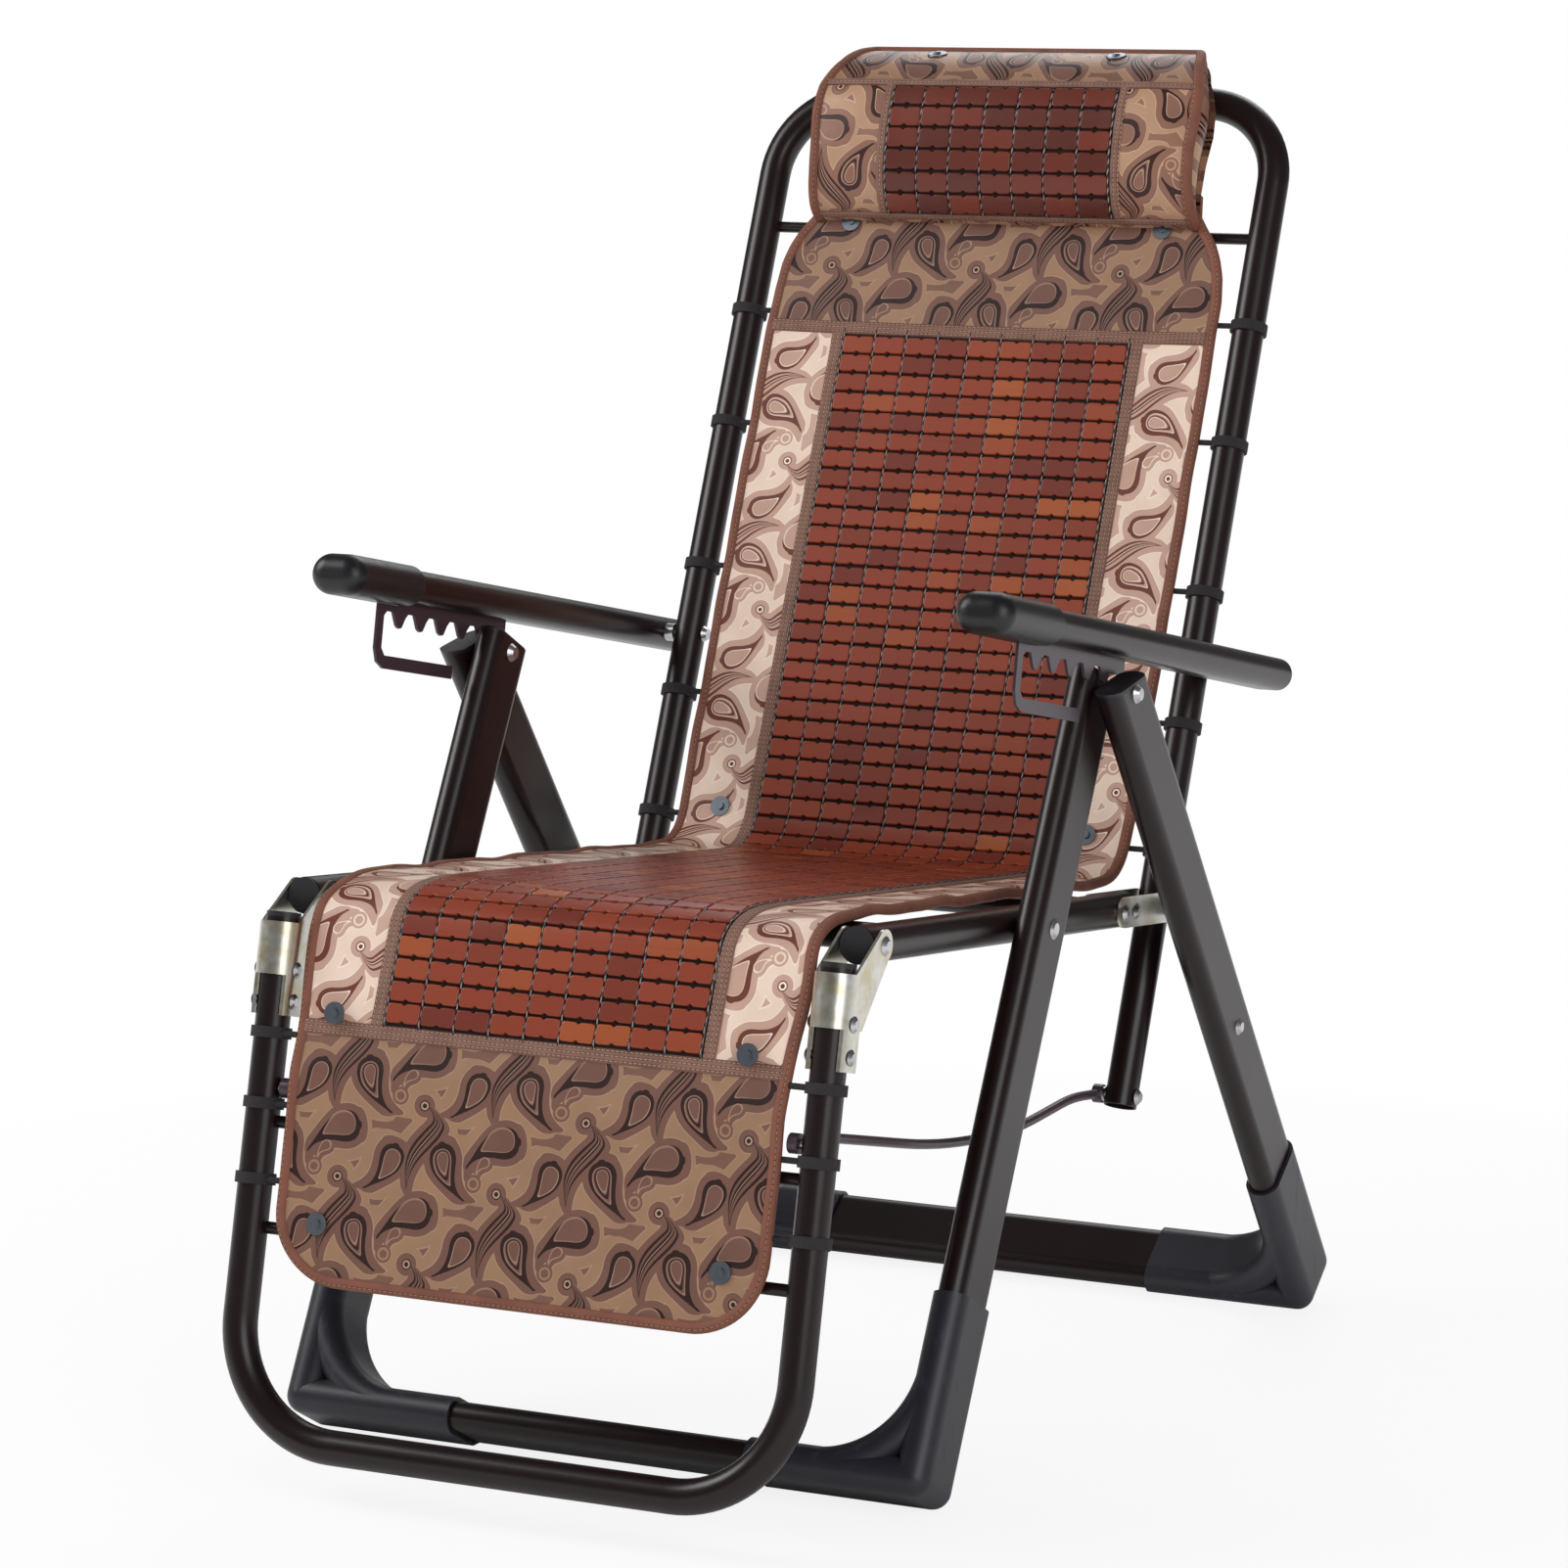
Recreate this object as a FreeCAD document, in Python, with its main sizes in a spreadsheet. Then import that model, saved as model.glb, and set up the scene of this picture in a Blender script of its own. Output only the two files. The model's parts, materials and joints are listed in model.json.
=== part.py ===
import FreeCAD, Part
import math
import os
import Sketcher
from FreeCAD import Placement, Rotation, Vector

# Folding recliner with a tube frame, a laced mat and toothed armrest racks.
# +Z is up, the chair faces -Y and X = 0 is its middle plane.
# The frames below are tilted: local +Z runs up a tube and local +Y points to the rear.

SIZES = [
    ("frame_shift", 0.78, "shift of the whole chair along Y"),
    ("apex_z", 608.0, "height of the bolt where front and rear legs cross"),
    ("front_tilt", 28.5, "lean of the front legs from vertical, degrees"),
    ("rear_tilt", 36.5, "lean of the rear legs from vertical, degrees"),
    ("pivot_drop", 204.9, "from the apex bolt down the front leg to the seat bolt"),
    ("seat_tilt", 6.1, "slope of the seat rails down to the rear, degrees"),
    ("rail_rear", 312.8, "seat bolt to back hinge along the rail"),
    ("rail_front", 265.6, "seat bolt to knee pivot along the rail"),
    ("back_tilt", 23.1, "lean of the back from vertical, degrees"),
    ("arm_pivot", 214.4, "back hinge to armrest pivot along the back tube"),
    ("arm_rise", 42.6, "armrest centre line above the apex bolt"),
    ("rest_tilt", 13.34, "lean of the leg rest from vertical, degrees"),
    ("knee_set", 41.5, "leg rest tube in front of the knee pivot"),
    ("knee_drop", 33.0, "leg rest datum below the knee pivot"),
    ("rail_d", 30.0, "seat rail diameter"),
    ("tube_d", 28.0, "back and leg rest tube diameter"),
    ("wall", 1.5, "tube wall"),
    ("oval_thick", 24.0, "leg tube, thin way"),
    ("oval_width", 62.0, "leg tube, wide way"),
    ("washer_thick", 3.2, "washer between seat rail and front leg"),
    ("side_gap", 0.3, "side clearance between moving faces"),
    ("leg_space", 5.0, "space between front and rear leg for the rack plate"),
    ("front_top", 10.0, "front leg tube beyond the apex bolt"),
    ("rear_top", 8.0, "rear leg tube beyond the apex bolt at its middle"),
    ("rear_slant", 27.3, "slope of the rear leg's cut top across the leg, degrees"),
    ("leg_bend", 90.0, "bend radius of the leg frames"),
    ("cap_thick", 3.0, "plastic cap on a leg top"),
    ("shoe_wall", 3.0, "wall of a plastic shoe"),
    ("shoe_fit", 0.2, "clearance of a shoe round its tube"),
    ("shoe_up", 148.0, "shoe height along the leg"),
    ("shoe_in", 142.0, "shoe length along the floor bar"),
    ("sole_cut", 1.2, "depth of the flat cut under a shoe"),
    ("bolt_d", 10.0, "diameter of the main bolts"),
    ("pin_d", 8.0, "diameter of the smaller pins"),
    ("run_fit", 0.05, "radial running clearance of a pin"),
    ("rivet_d", 7.0, "rivet diameter"),
    ("rail_nose", 12.0, "seat rail beyond the knee pivot"),
    ("hinge_gap", 66.0, "end of the seat rail before the back hinge"),
    ("hinge_plate", 2.5, "hinge plate thickness"),
    ("hinge_height", 26.0, "hinge plate height"),
    ("hinge_rivet_a", 80.0, "first rail rivet before the back hinge"),
    ("hinge_rivet_b", 104.0, "second rail rivet before the back hinge"),
    ("seat_tube_d", 22.0, "cross tube diameter"),
    ("cross_front", 48.0, "front cross tube behind the knee pivot"),
    ("cross_rear", 136.0, "rear cross tube before the back hinge"),
    ("mat_half", 216.0, "half width of the mat"),
    ("mat_side", 15.0, "edge of the mat to the side tube"),
    ("mat_thick", 10.0, "mat thickness"),
    ("mat_gap", 0.3, "clearance of the mat on what carries it"),
    ("seat_mat_front", 24.0, "front edge of the seat mat behind the knee pivot"),
    ("seat_mat_rear", 12.0, "rear edge of the seat mat before the back hinge"),
    ("tail_drop", 177.4, "back tube below the back hinge"),
    ("top_gap", 91.6, "top bar above the upper edge of the back mat"),
    ("back_bend", 75.0, "bend radius of the back tube"),
    ("head_bar_drop", 33.5, "head bar below the upper edge of the back mat"),
    ("rod_d", 8.0, "link rod diameter"),
    ("bar_d", 10.0, "thin cross bar diameter"),
    ("back_mat_low", 34.0, "lower edge of the back mat above the hinge"),
    ("back_mat_high", 640.0, "upper edge of the back mat above the hinge"),
    ("pillow_lap", 18.0, "lower edge of the pillow below the mat's upper edge"),
    ("pillow_rise", 124.0, "upper edge of the pillow above the mat's upper edge"),
    ("pillow_half", 172.0, "half width of the pillow"),
    ("pillow_thick", 34.0, "crown of the pillow"),
    ("clip_width", 9.0, "lacing clip along the tube"),
    ("clip_wall", 2.4, "lacing clip wall"),
    ("lace_d", 5.0, "lace diameter"),
    ("snap_d", 18.0, "diameter of a snap's washer"),
    ("rod_pivot", 168.0, "rear rod pin below the back hinge"),
    ("rest_top", 12.0, "leg rest tube above its datum"),
    ("rest_reach", 398.7, "leg rest bottom bar below its datum"),
    ("rest_bend", 95.0, "bend radius of the leg rest"),
    ("rest_bar_a", 150.0, "upper leg rest bar below the datum"),
    ("rest_bar_b", 234.0, "lower leg rest bar below the datum"),
    ("rest_mat_top", 4.0, "upper edge of the leg mat above the datum"),
    ("rest_mat_low", 274.0, "lower edge of the leg mat below the datum"),
    ("apron_round", 62.0, "corner radius of the leg mat"),
    ("lug_drop", 122.9, "front rod pin below the leg rest datum"),
    ("rod_inset", 21.0, "rod plane inside the rail plane"),
    ("rod_bow", 21.0, "sag of the bent link rod below its pins"),
    ("open_gap", 1.0, "side gap at an opened pivot"),
    ("bracket_wall", 2.5, "knee bracket sheet"),
    ("bracket_up", 8.0, "knee bracket sleeve above the datum"),
    ("bracket_down", 34.0, "knee bracket sleeve below the datum"),
    ("bracket_tail", 66.0, "knee bracket plates below the datum"),
    ("arm_width", 44.0, "armrest tube, wide way"),
    ("arm_height", 28.0, "armrest tube, thin way"),
    ("arm_front", 532.0, "armrest tube in front of its pivot"),
    ("arm_tail", 62.0, "armrest tube behind its pivot"),
    ("grip_length", 112.0, "length of the grip"),
    ("grip_nose", 28.0, "grip beyond the end of the tube"),
    ("grip_wall", 3.0, "wall of the grip"),
    ("rack_plate", 2.5, "rack plate thickness"),
    ("rack_low", 28.5, "lower edge of the rack below the bolt line"),
    ("rack_bar", 11.0, "height of the rack's lower bar"),
    ("tooth_clear", 6.4, "tooth tips above the bolt line"),
    ("tooth_height", 13.0, "height of a rack tooth"),
    ("tooth_pitch", 35.5, "pitch of the rack notches"),
    ("rack_front", 160.0, "foremost notch in front of the apex bolt"),
    ("rack_rear", 30.0, "rack behind the apex bolt"),
    ("rack_wall", 10.0, "rack plate in front of its window"),
    ("rack_mouth", 56.0, "open mouth of the rack in front of the apex bolt"),
    ("link_drop", 395.0, "apex bolt to side link bolt along the rear leg"),
    ("link_plate", 3.0, "side link thickness"),
    ("link_height", 18.0, "side link width"),
]

doc = FreeCAD.newDocument("FoldingRecliner")
sheet = doc.addObject("Spreadsheet::Sheet", "Sizes")
for row, (alias, value, meaning) in enumerate(SIZES, start=1):
    sheet.set(f"A{row}", alias)
    sheet.set(f"B{row}", str(value))
    sheet.set(f"C{row}", meaning)
    sheet.setAlias(f"B{row}", alias)
doc.recompute()

# Places that follow from the sizes: each tilted frame's origin and lean, and the side planes.
DERIVED = [
    ("rail_x", "Sizes.mat_half + Sizes.mat_side + Sizes.tube_d / 2"),
    ("back_rise", "Sizes.back_mat_high + Sizes.top_gap"),
    ("head_bar_up", "Sizes.back_mat_high - Sizes.head_bar_drop"),
    ("pillow_low", "Sizes.back_mat_high - Sizes.pillow_lap"),
    ("pillow_high", "Sizes.back_mat_high + Sizes.pillow_rise"),
    ("front_y", "Sizes.frame_shift"),
    ("front_z", "Sizes.apex_z"),
    ("front_tilt", "-Sizes.front_tilt"),
    ("rear_y", "Sizes.frame_shift"),
    ("rear_z", "Sizes.apex_z"),
    ("rear_tilt", "Sizes.rear_tilt"),
    ("bolt_y", "Sizes.frame_shift - Sizes.pivot_drop * sin(Sizes.front_tilt)"),
    ("bolt_z", "Sizes.apex_z - Sizes.pivot_drop * cos(Sizes.front_tilt)"),
    ("seat_y", "bolt_y + Sizes.rail_rear * cos(Sizes.seat_tilt)"),
    ("seat_z", "bolt_z - Sizes.rail_rear * sin(Sizes.seat_tilt)"),
    ("seat_tilt", "-Sizes.seat_tilt"),
    ("knee_y", "bolt_y - Sizes.rail_front * cos(Sizes.seat_tilt)"),
    ("knee_z", "bolt_z + Sizes.rail_front * sin(Sizes.seat_tilt)"),
    ("back_y", "seat_y"),
    ("back_z", "seat_z"),
    ("back_tilt", "-Sizes.back_tilt"),
    ("rest_y", "knee_y - Sizes.knee_set * cos(Sizes.rest_tilt) - Sizes.knee_drop * sin(Sizes.rest_tilt)"),
    ("rest_z", "knee_z + Sizes.knee_set * sin(Sizes.rest_tilt) - Sizes.knee_drop * cos(Sizes.rest_tilt)"),
    ("rest_tilt", "-Sizes.rest_tilt"),
    ("arm_y", "seat_y + Sizes.arm_pivot * sin(Sizes.back_tilt)"),
    ("arm_z", "seat_z + Sizes.arm_pivot * cos(Sizes.back_tilt)"),
    ("arm_reach", "hypot(arm_y - front_y; front_z - arm_z)"),
    ("arm_slope", "atan2(front_z - arm_z; arm_y - front_y) + asin(Sizes.arm_rise / arm_reach)"),
    ("arm_tilt", "-arm_slope"),
    ("apex_run", "sqrt(arm_reach * arm_reach - Sizes.arm_rise * Sizes.arm_rise)"),
    ("link_end_y", "rear_y + Sizes.link_drop * sin(Sizes.rear_tilt)"),
    ("link_end_z", "rear_z - Sizes.link_drop * cos(Sizes.rear_tilt)"),
    ("link_y", "seat_y"),
    ("link_z", "seat_z"),
    ("link_tilt", "atan2(link_end_y - seat_y; seat_z - link_end_z)"),
    ("link_length", "hypot(link_end_y - seat_y; seat_z - link_end_z)"),
    ("rod_y", "seat_y - Sizes.rod_pivot * sin(Sizes.back_tilt)"),
    ("rod_z", "seat_z - Sizes.rod_pivot * cos(Sizes.back_tilt)"),
    ("lug_y", "rest_y - Sizes.lug_drop * sin(Sizes.rest_tilt)"),
    ("lug_z", "rest_z - Sizes.lug_drop * cos(Sizes.rest_tilt)"),
    ("rod_slope", "atan2(lug_z - rod_z; rod_y - lug_y)"),
    ("rod_tilt", "-rod_slope"),
    ("rod_length", "hypot(rod_y - lug_y; lug_z - rod_z)"),
    ("rail_length", "Sizes.rail_rear + Sizes.rail_front"),
    ("rail_in", "rail_x - Sizes.rail_d / 2"),
    ("rail_out", "rail_x + Sizes.rail_d / 2"),
    ("tube_in", "rail_x - Sizes.tube_d / 2"),
    ("tube_out", "rail_x + Sizes.tube_d / 2"),
    ("front_in", "rail_out + Sizes.washer_thick + Sizes.side_gap"),
    ("front_x", "front_in + Sizes.oval_thick / 2"),
    ("front_out", "front_in + Sizes.oval_thick"),
    ("rack_x", "front_out + Sizes.leg_space / 2"),
    ("rear_in", "front_out + Sizes.leg_space"),
    ("rear_x", "rear_in + Sizes.oval_thick / 2"),
    ("rear_out", "rear_in + Sizes.oval_thick"),
    ("oval_flat", "Sizes.oval_width - Sizes.oval_thick"),
    ("shoe_radius", "Sizes.oval_thick / 2 + Sizes.shoe_fit + Sizes.shoe_wall"),
    ("front_foot", "oval_flat / 2 * sin(Sizes.front_tilt) + shoe_radius - Sizes.sole_cut"),
    ("rear_foot", "oval_flat / 2 * sin(Sizes.rear_tilt) + shoe_radius - Sizes.sole_cut"),
    ("front_reach", "(Sizes.apex_z - front_foot) / cos(Sizes.front_tilt)"),
    ("rear_reach", "(Sizes.apex_z - rear_foot) / cos(Sizes.rear_tilt)"),
    ("bolt_hole", "Sizes.bolt_d / 2 + Sizes.run_fit"),
    ("pin_hole", "Sizes.pin_d / 2 + Sizes.run_fit"),
    ("rivet_hole", "Sizes.rivet_d / 2 + Sizes.run_fit"),
    ("bar_set", "Sizes.bar_d / 2 - Sizes.mat_gap * 4"),
    ("link_low", "rear_in - Sizes.open_gap - 2.5 - Sizes.link_plate"),
    ("rod_x", "rail_x - Sizes.rod_inset"),
    ("arm_in", "rack_x - Sizes.arm_width / 2"),
]
frames = doc.addObject("App::VarSet", "Frames")
for name, text in DERIVED:
    frames.addProperty("App::PropertyFloat", name)
    frames.setExpression(name, text)
doc.recompute()


def size(name):
    """A driving dimension from the sheet."""
    return float(sheet.get(name))


def derived(name):
    """A place or length that follows from the sheet."""
    return float(getattr(frames, name))


def bind(item, expressions):
    """Ties several properties of an object to the sheet."""
    for path, text in expressions.items():
        item.setExpression(path, text)


def place(item, frame):
    """Lays a piece in one of the tilted frames."""
    item.Placement = Placement(Vector(0, 0, 0), Rotation(Vector(1, 0, 0), 1.0))
    bind(item, {
        ".Placement.Base.y": f"Frames.{frame}_y",
        ".Placement.Base.z": f"Frames.{frame}_z",
        ".Placement.Rotation.Angle": f"Frames.{frame}_tilt",
    })
    return item


def at(item, x="0", y="0", z="0"):
    """Moves a plain solid to a bound point of its frame."""
    bind(item, {".Placement.Base.x": x, ".Placement.Base.y": y, ".Placement.Base.z": z})
    return item


def cylinder(name, radius, height, turn, x="0", y="0", z="0"):
    """A round solid along X, Y or Z."""
    item = doc.addObject("Part::Cylinder", name)
    turns = {"X": Rotation(Vector(0, 1, 0), 90), "Y": Rotation(Vector(1, 0, 0), -90), "Z": Rotation()}
    item.Placement = Placement(Vector(0, 0, 0), turns[turn])
    bind(item, {"Radius": radius, "Height": height})
    return at(item, x, y, z)


def cone(name, radius, top, height, x="0", y="0", z="0", outward=True):
    """A bolt head along X that narrows outward."""
    item = doc.addObject("Part::Cone", name)
    turn = 90 if outward else -90
    item.Placement = Placement(Vector(0, 0, 0), Rotation(Vector(0, 1, 0), turn))
    bind(item, {"Radius1": radius, "Radius2": top, "Height": height})
    return at(item, x, y, z)


def block(name, length, width, height, x="0", y="0", z="0"):
    """A box with bound sides and corner."""
    item = doc.addObject("Part::Box", name)
    bind(item, {"Length": length, "Width": width, "Height": height})
    return at(item, x, y, z)


def fuse(name, items):
    """One solid from several."""
    item = doc.addObject("Part::MultiFuse", name)
    item.Shapes = items
    item.Refine = True
    return item


def cut(name, base, tools):
    """A solid less its tools."""
    item = doc.addObject("Part::Cut", name)
    item.Base = base
    item.Tool = tools[0] if len(tools) == 1 else fuse(name + "_tools", tools)
    return item


def common(name, base, tool):
    """What two solids share."""
    item = doc.addObject("Part::Common", name)
    item.Base = base
    item.Tool = tool
    return item


def group(name, items):
    """Several like pieces kept as separate solids."""
    item = doc.addObject("Part::Compound", name)
    item.Links = items
    return item


def mirror(name, source):
    """The same piece on the far side."""
    item = doc.addObject("Part::Mirroring", name)
    item.Source = source
    item.Base = Vector(0, 0, 0)
    item.Normal = Vector(1, 0, 0)
    return item


NODES = []


def node(label, item):
    """Names a finished piece, which also names its file."""
    item.Label = label
    NODES.append(item)
    return item


def both(label, item):
    """A right piece and its left twin, each a piece of its own."""
    node(label + "_right", item)
    node(label + "_left", mirror(label + "_twin", item))


def pair(label, item):
    """Like pieces on both sides under one name."""
    twin = mirror(label + "_twin", item)
    node(label, group(label + "_set", [item, twin]))


def origin_plane(body, role):
    """One of a body's own three planes."""
    return next(feature for feature in body.Origin.OriginFeatures if feature.Role == role)


def new_sketch(body, name, role, offset=None):
    """A sketch on one of the body's planes, lifted off it by a bound amount."""
    item = body.newObject("Sketcher::SketchObject", name)
    item.AttachmentSupport = [(origin_plane(body, role), "")]
    item.MapMode = "FlatFace"
    if offset:
        item.setExpression(".AttachmentOffset.Base.z", offset)
    return item


def dimension(sketch, constraint, name, text):
    """A named dimension tied to the sheet."""
    index = sketch.addConstraint(constraint)
    sketch.renameConstraint(index, name)
    sketch.setExpression("Constraints." + name, text)


def draw_u(sketch, half, top, reach, bend, side, sizes):
    """A U of two legs, two bends and a bar; side is -1 where the bar is below the legs."""
    edge = Sketcher.Constraint
    low = side * reach
    turn = low - side * bend
    first = (math.pi, 1.5 * math.pi) if side < 0 else (0.5 * math.pi, math.pi)
    second = (1.5 * math.pi, 2 * math.pi) if side < 0 else (0.0, 0.5 * math.pi)
    start, end = (2, 1) if side < 0 else (1, 2)
    left = Part.Circle(Vector(-half + bend, turn, 0), Vector(0, 0, 1), bend)
    right = Part.Circle(Vector(half - bend, turn, 0), Vector(0, 0, 1), bend)
    sketch.addGeometry([
        Part.LineSegment(Vector(-half, top, 0), Vector(-half, turn, 0)),
        Part.ArcOfCircle(left, *first),
        Part.LineSegment(Vector(-half + bend, low, 0), Vector(half - bend, low, 0)),
        Part.ArcOfCircle(right, *second),
        Part.LineSegment(Vector(half, turn, 0), Vector(half, top, 0)),
    ], False)
    sketch.addConstraint([
        edge("Tangent", 0, 2, 1, end),
        edge("Tangent", 1, start, 2, 1),
        edge("Tangent", 2, 2, 3, end),
        edge("Tangent", 3, start, 4, 1),
        edge("Vertical", 0),
        edge("Horizontal", 2),
        edge("Vertical", 4),
        edge("Equal", 1, 3),
        edge("Symmetric", 0, 1, 4, 2, -2),
    ])
    dimension(sketch, edge("Radius", 1, bend), "bend", sizes["bend"])
    dimension(sketch, edge("DistanceX", -1, 1, 4, 2, half), "half", sizes["half"])
    if side < 0:
        dimension(sketch, edge("DistanceY", -1, 1, 4, 2, top), "ends", sizes["top"])
        dimension(sketch, edge("DistanceY", 2, 1, -1, 1, reach), "reach", sizes["reach"])
    else:
        dimension(sketch, edge("DistanceY", 4, 2, -1, 1, -top), "ends", sizes["top"])
        dimension(sketch, edge("DistanceY", -1, 1, 2, 1, reach), "reach", sizes["reach"])


def draw_slot(sketch, centre, flat, radius, tag, sizes, upright=True):
    """A flat oval with its long way along the sketch's second axis, or its first."""
    edge = Sketcher.Constraint
    first = len(sketch.Geometry)
    half = flat / 2
    if upright:
        ends = [Vector(centre, half, 0), Vector(centre, -half, 0)]
        side = Vector(radius, 0, 0)
        angle = 0.0
    else:
        ends = [Vector(centre - half, 0, 0), Vector(centre + half, 0, 0)]
        side = Vector(0, radius, 0)
        angle = 0.5 * math.pi
    far = Part.Circle(ends[0], Vector(0, 0, 1), radius)
    near = Part.Circle(ends[1], Vector(0, 0, 1), radius)
    sketch.addGeometry([
        Part.ArcOfCircle(far, angle, angle + math.pi),
        Part.LineSegment(ends[0] - side, ends[1] - side),
        Part.ArcOfCircle(near, angle + math.pi, angle + 2 * math.pi),
        Part.LineSegment(ends[1] + side, ends[0] + side),
    ], False)
    sketch.addConstraint([
        edge("Tangent", first, 2, first + 1, 1),
        edge("Tangent", first + 1, 2, first + 2, 1),
        edge("Tangent", first + 2, 2, first + 3, 1),
        edge("Tangent", first + 3, 2, first, 1),
    ])
    dimension(sketch, edge("Radius", first, radius), tag + "_round", sizes["radius"])
    if upright:
        sketch.addConstraint(edge("Vertical", first + 1))
        sketch.addConstraint(edge("Symmetric", first, 3, first + 2, 3, -1))
        dimension(sketch, edge("DistanceY", first + 2, 3, first, 3, flat), tag + "_flat", sizes["flat"])
        dimension(sketch, edge("DistanceX", -1, 1, first, 3, centre), tag + "_side", sizes["centre"])
    else:
        sketch.addConstraint(edge("Horizontal", first + 1))
        sketch.addConstraint(edge("PointOnObject", first, 3, -1))
        dimension(sketch, edge("DistanceX", first, 3, first + 2, 3, flat), tag + "_flat", sizes["flat"])
        reach = centre + half
        dimension(sketch, edge("DistanceX", -1, 1, first + 2, 3, reach), tag + "_side", sizes["centre"])


def draw_ring(sketch, centre, radius, wall, sizes):
    """Two circles about a point of the first axis."""
    edge = Sketcher.Constraint
    for index, (tag, shrink) in enumerate((("outer", 0.0), ("inner", wall))):
        circle = Part.Circle(Vector(centre, 0, 0), Vector(0, 0, 1), radius - shrink)
        sketch.addGeometry(circle, False)
        sketch.addConstraint(edge("PointOnObject", index, 3, -1))
        text = sizes["radius"] + (" - Sizes.wall" if shrink else "")
        dimension(sketch, edge("Radius", index, radius - shrink), tag + "_round", text)
        dimension(sketch, edge("DistanceX", -1, 1, index, 3, centre), tag + "_side", sizes["centre"])


def bore(body, name, holes):
    """Holes across the chair; each is a height along the tube and a radius, both bound."""
    sketch = new_sketch(body, name + "_marks", "YZ_Plane")
    edge = Sketcher.Constraint
    for index, (height, high_text, radius, round_text) in enumerate(holes):
        circle = Part.Circle(Vector(0, height, 0), Vector(0, 0, 1), radius)
        sketch.addGeometry(circle, False)
        sketch.addConstraint(edge("PointOnObject", index, 3, -2))
        dimension(sketch, edge("Radius", index, radius), f"round_{index}", round_text)
        if abs(height) < 1e-6:
            sketch.addConstraint(edge("PointOnObject", index, 3, -1))
        elif height > 0:
            dimension(sketch, edge("DistanceY", -1, 1, index, 3, height), f"up_{index}", high_text)
        else:
            dimension(sketch, edge("DistanceY", index, 3, -1, 1, -height), f"down_{index}", high_text)
    pocket = body.newObject("PartDesign::Pocket", name)
    pocket.Profile = sketch
    pocket.Type = "ThroughAll"
    pocket.Midplane = True
    return pocket


def u_frame(name, frame, half, top, reach, bend, side, section):
    """A tube bent to a U and hollow all along; section draws its wall at the leg's end."""
    body = doc.addObject("PartDesign::Body", name)
    path = new_sketch(body, name + "_path", "XZ_Plane")
    values = {"half": half, "top": top, "reach": reach, "bend": bend}
    numbers = {key: evaluate(text) for key, text in values.items()}
    draw_u(path, numbers["half"], numbers["top"] if side < 0 else -numbers["top"],
           numbers["reach"], numbers["bend"], side, values)
    level = top if side < 0 else f"-({top})"
    profile = new_sketch(body, name + "_section", "XY_Plane", level)
    section(profile)
    doc.recompute()
    tube = body.newObject("PartDesign::AdditivePipe", name + "_tube")
    tube.Profile = profile
    tube.Spine = (path, [f"Edge{index}" for index in range(1, 6)])
    if frame:
        place(body, frame)
    doc.recompute()
    return body


def evaluate(text):
    """The present value of a bound expression."""
    return float(sheet.evalExpression(text))


def oval_section(centre):
    """The wall of a leg tube whose middle is at the bound distance from the middle plane."""
    def draw(sketch):
        thick = size("oval_thick") / 2
        flat = derived("oval_flat")
        outer = {"radius": "Sizes.oval_thick / 2", "flat": "Frames.oval_flat", "centre": centre}
        inner = dict(outer, radius="Sizes.oval_thick / 2 - Sizes.wall")
        draw_slot(sketch, evaluate(centre), flat, thick, "outer", outer)
        draw_slot(sketch, evaluate(centre), flat, thick - size("wall"), "inner", inner)
    return draw


def round_section(sketch):
    """The wall of a back or leg rest tube."""
    sizes = {"radius": "Sizes.tube_d / 2", "centre": "Frames.rail_x"}
    draw_ring(sketch, derived("rail_x"), size("tube_d") / 2, size("wall"), sizes)


# Front and rear leg frames, each one oval tube bent under the seat.
front_leg = u_frame("front_leg", "front", "Frames.front_x", "Sizes.front_top",
                    "Frames.front_reach", "Sizes.leg_bend", -1, oval_section("Frames.front_x"))
bore(front_leg, "front_leg_bore", [
    (0.0, "", size("bolt_d") / 2, "Sizes.bolt_d / 2"),
    (-size("pivot_drop"), "Sizes.pivot_drop", derived("bolt_hole"), "Frames.bolt_hole"),
])
node("front_leg_frame", front_leg)
rear_leg = u_frame("rear_leg", None, "Frames.rear_x", "Sizes.rear_top + Sizes.oval_width / 2",
                   "Frames.rear_reach", "Sizes.leg_bend", -1, oval_section("Frames.rear_x"))
bore(rear_leg, "rear_leg_bore", [
    (0.0, "", derived("bolt_hole"), "Frames.bolt_hole"),
    (-size("link_drop"), "Sizes.link_drop", size("pin_d") / 2, "Sizes.pin_d / 2"),
])


def slanted_slab(name, thick):
    """A slab that lies on the sloping top of the rear legs."""
    reach = "Sizes.oval_width * 2"
    item = doc.addObject("Part::Box", name)
    item.Placement = Placement(Vector(0, 0, 0), Rotation(Vector(1, 0, 0), 1.0))
    bind(item, {
        "Length": "Frames.rear_x * 4",
        "Width": reach + " * 2",
        "Height": thick,
        ".Placement.Base.x": "-Frames.rear_x * 2",
        ".Placement.Base.y": f"-{reach} * cos(Sizes.rear_slant)",
        ".Placement.Base.z": f"Sizes.rear_top + {reach} * sin(Sizes.rear_slant)",
        ".Placement.Rotation.Angle": "-Sizes.rear_slant",
    })
    return item


rear_cut = cut("rear_leg_cut", rear_leg, [slanted_slab("rear_leg_waste", "Sizes.oval_width * 3")])
node("rear_leg_frame", place(rear_cut, "rear"))


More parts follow.
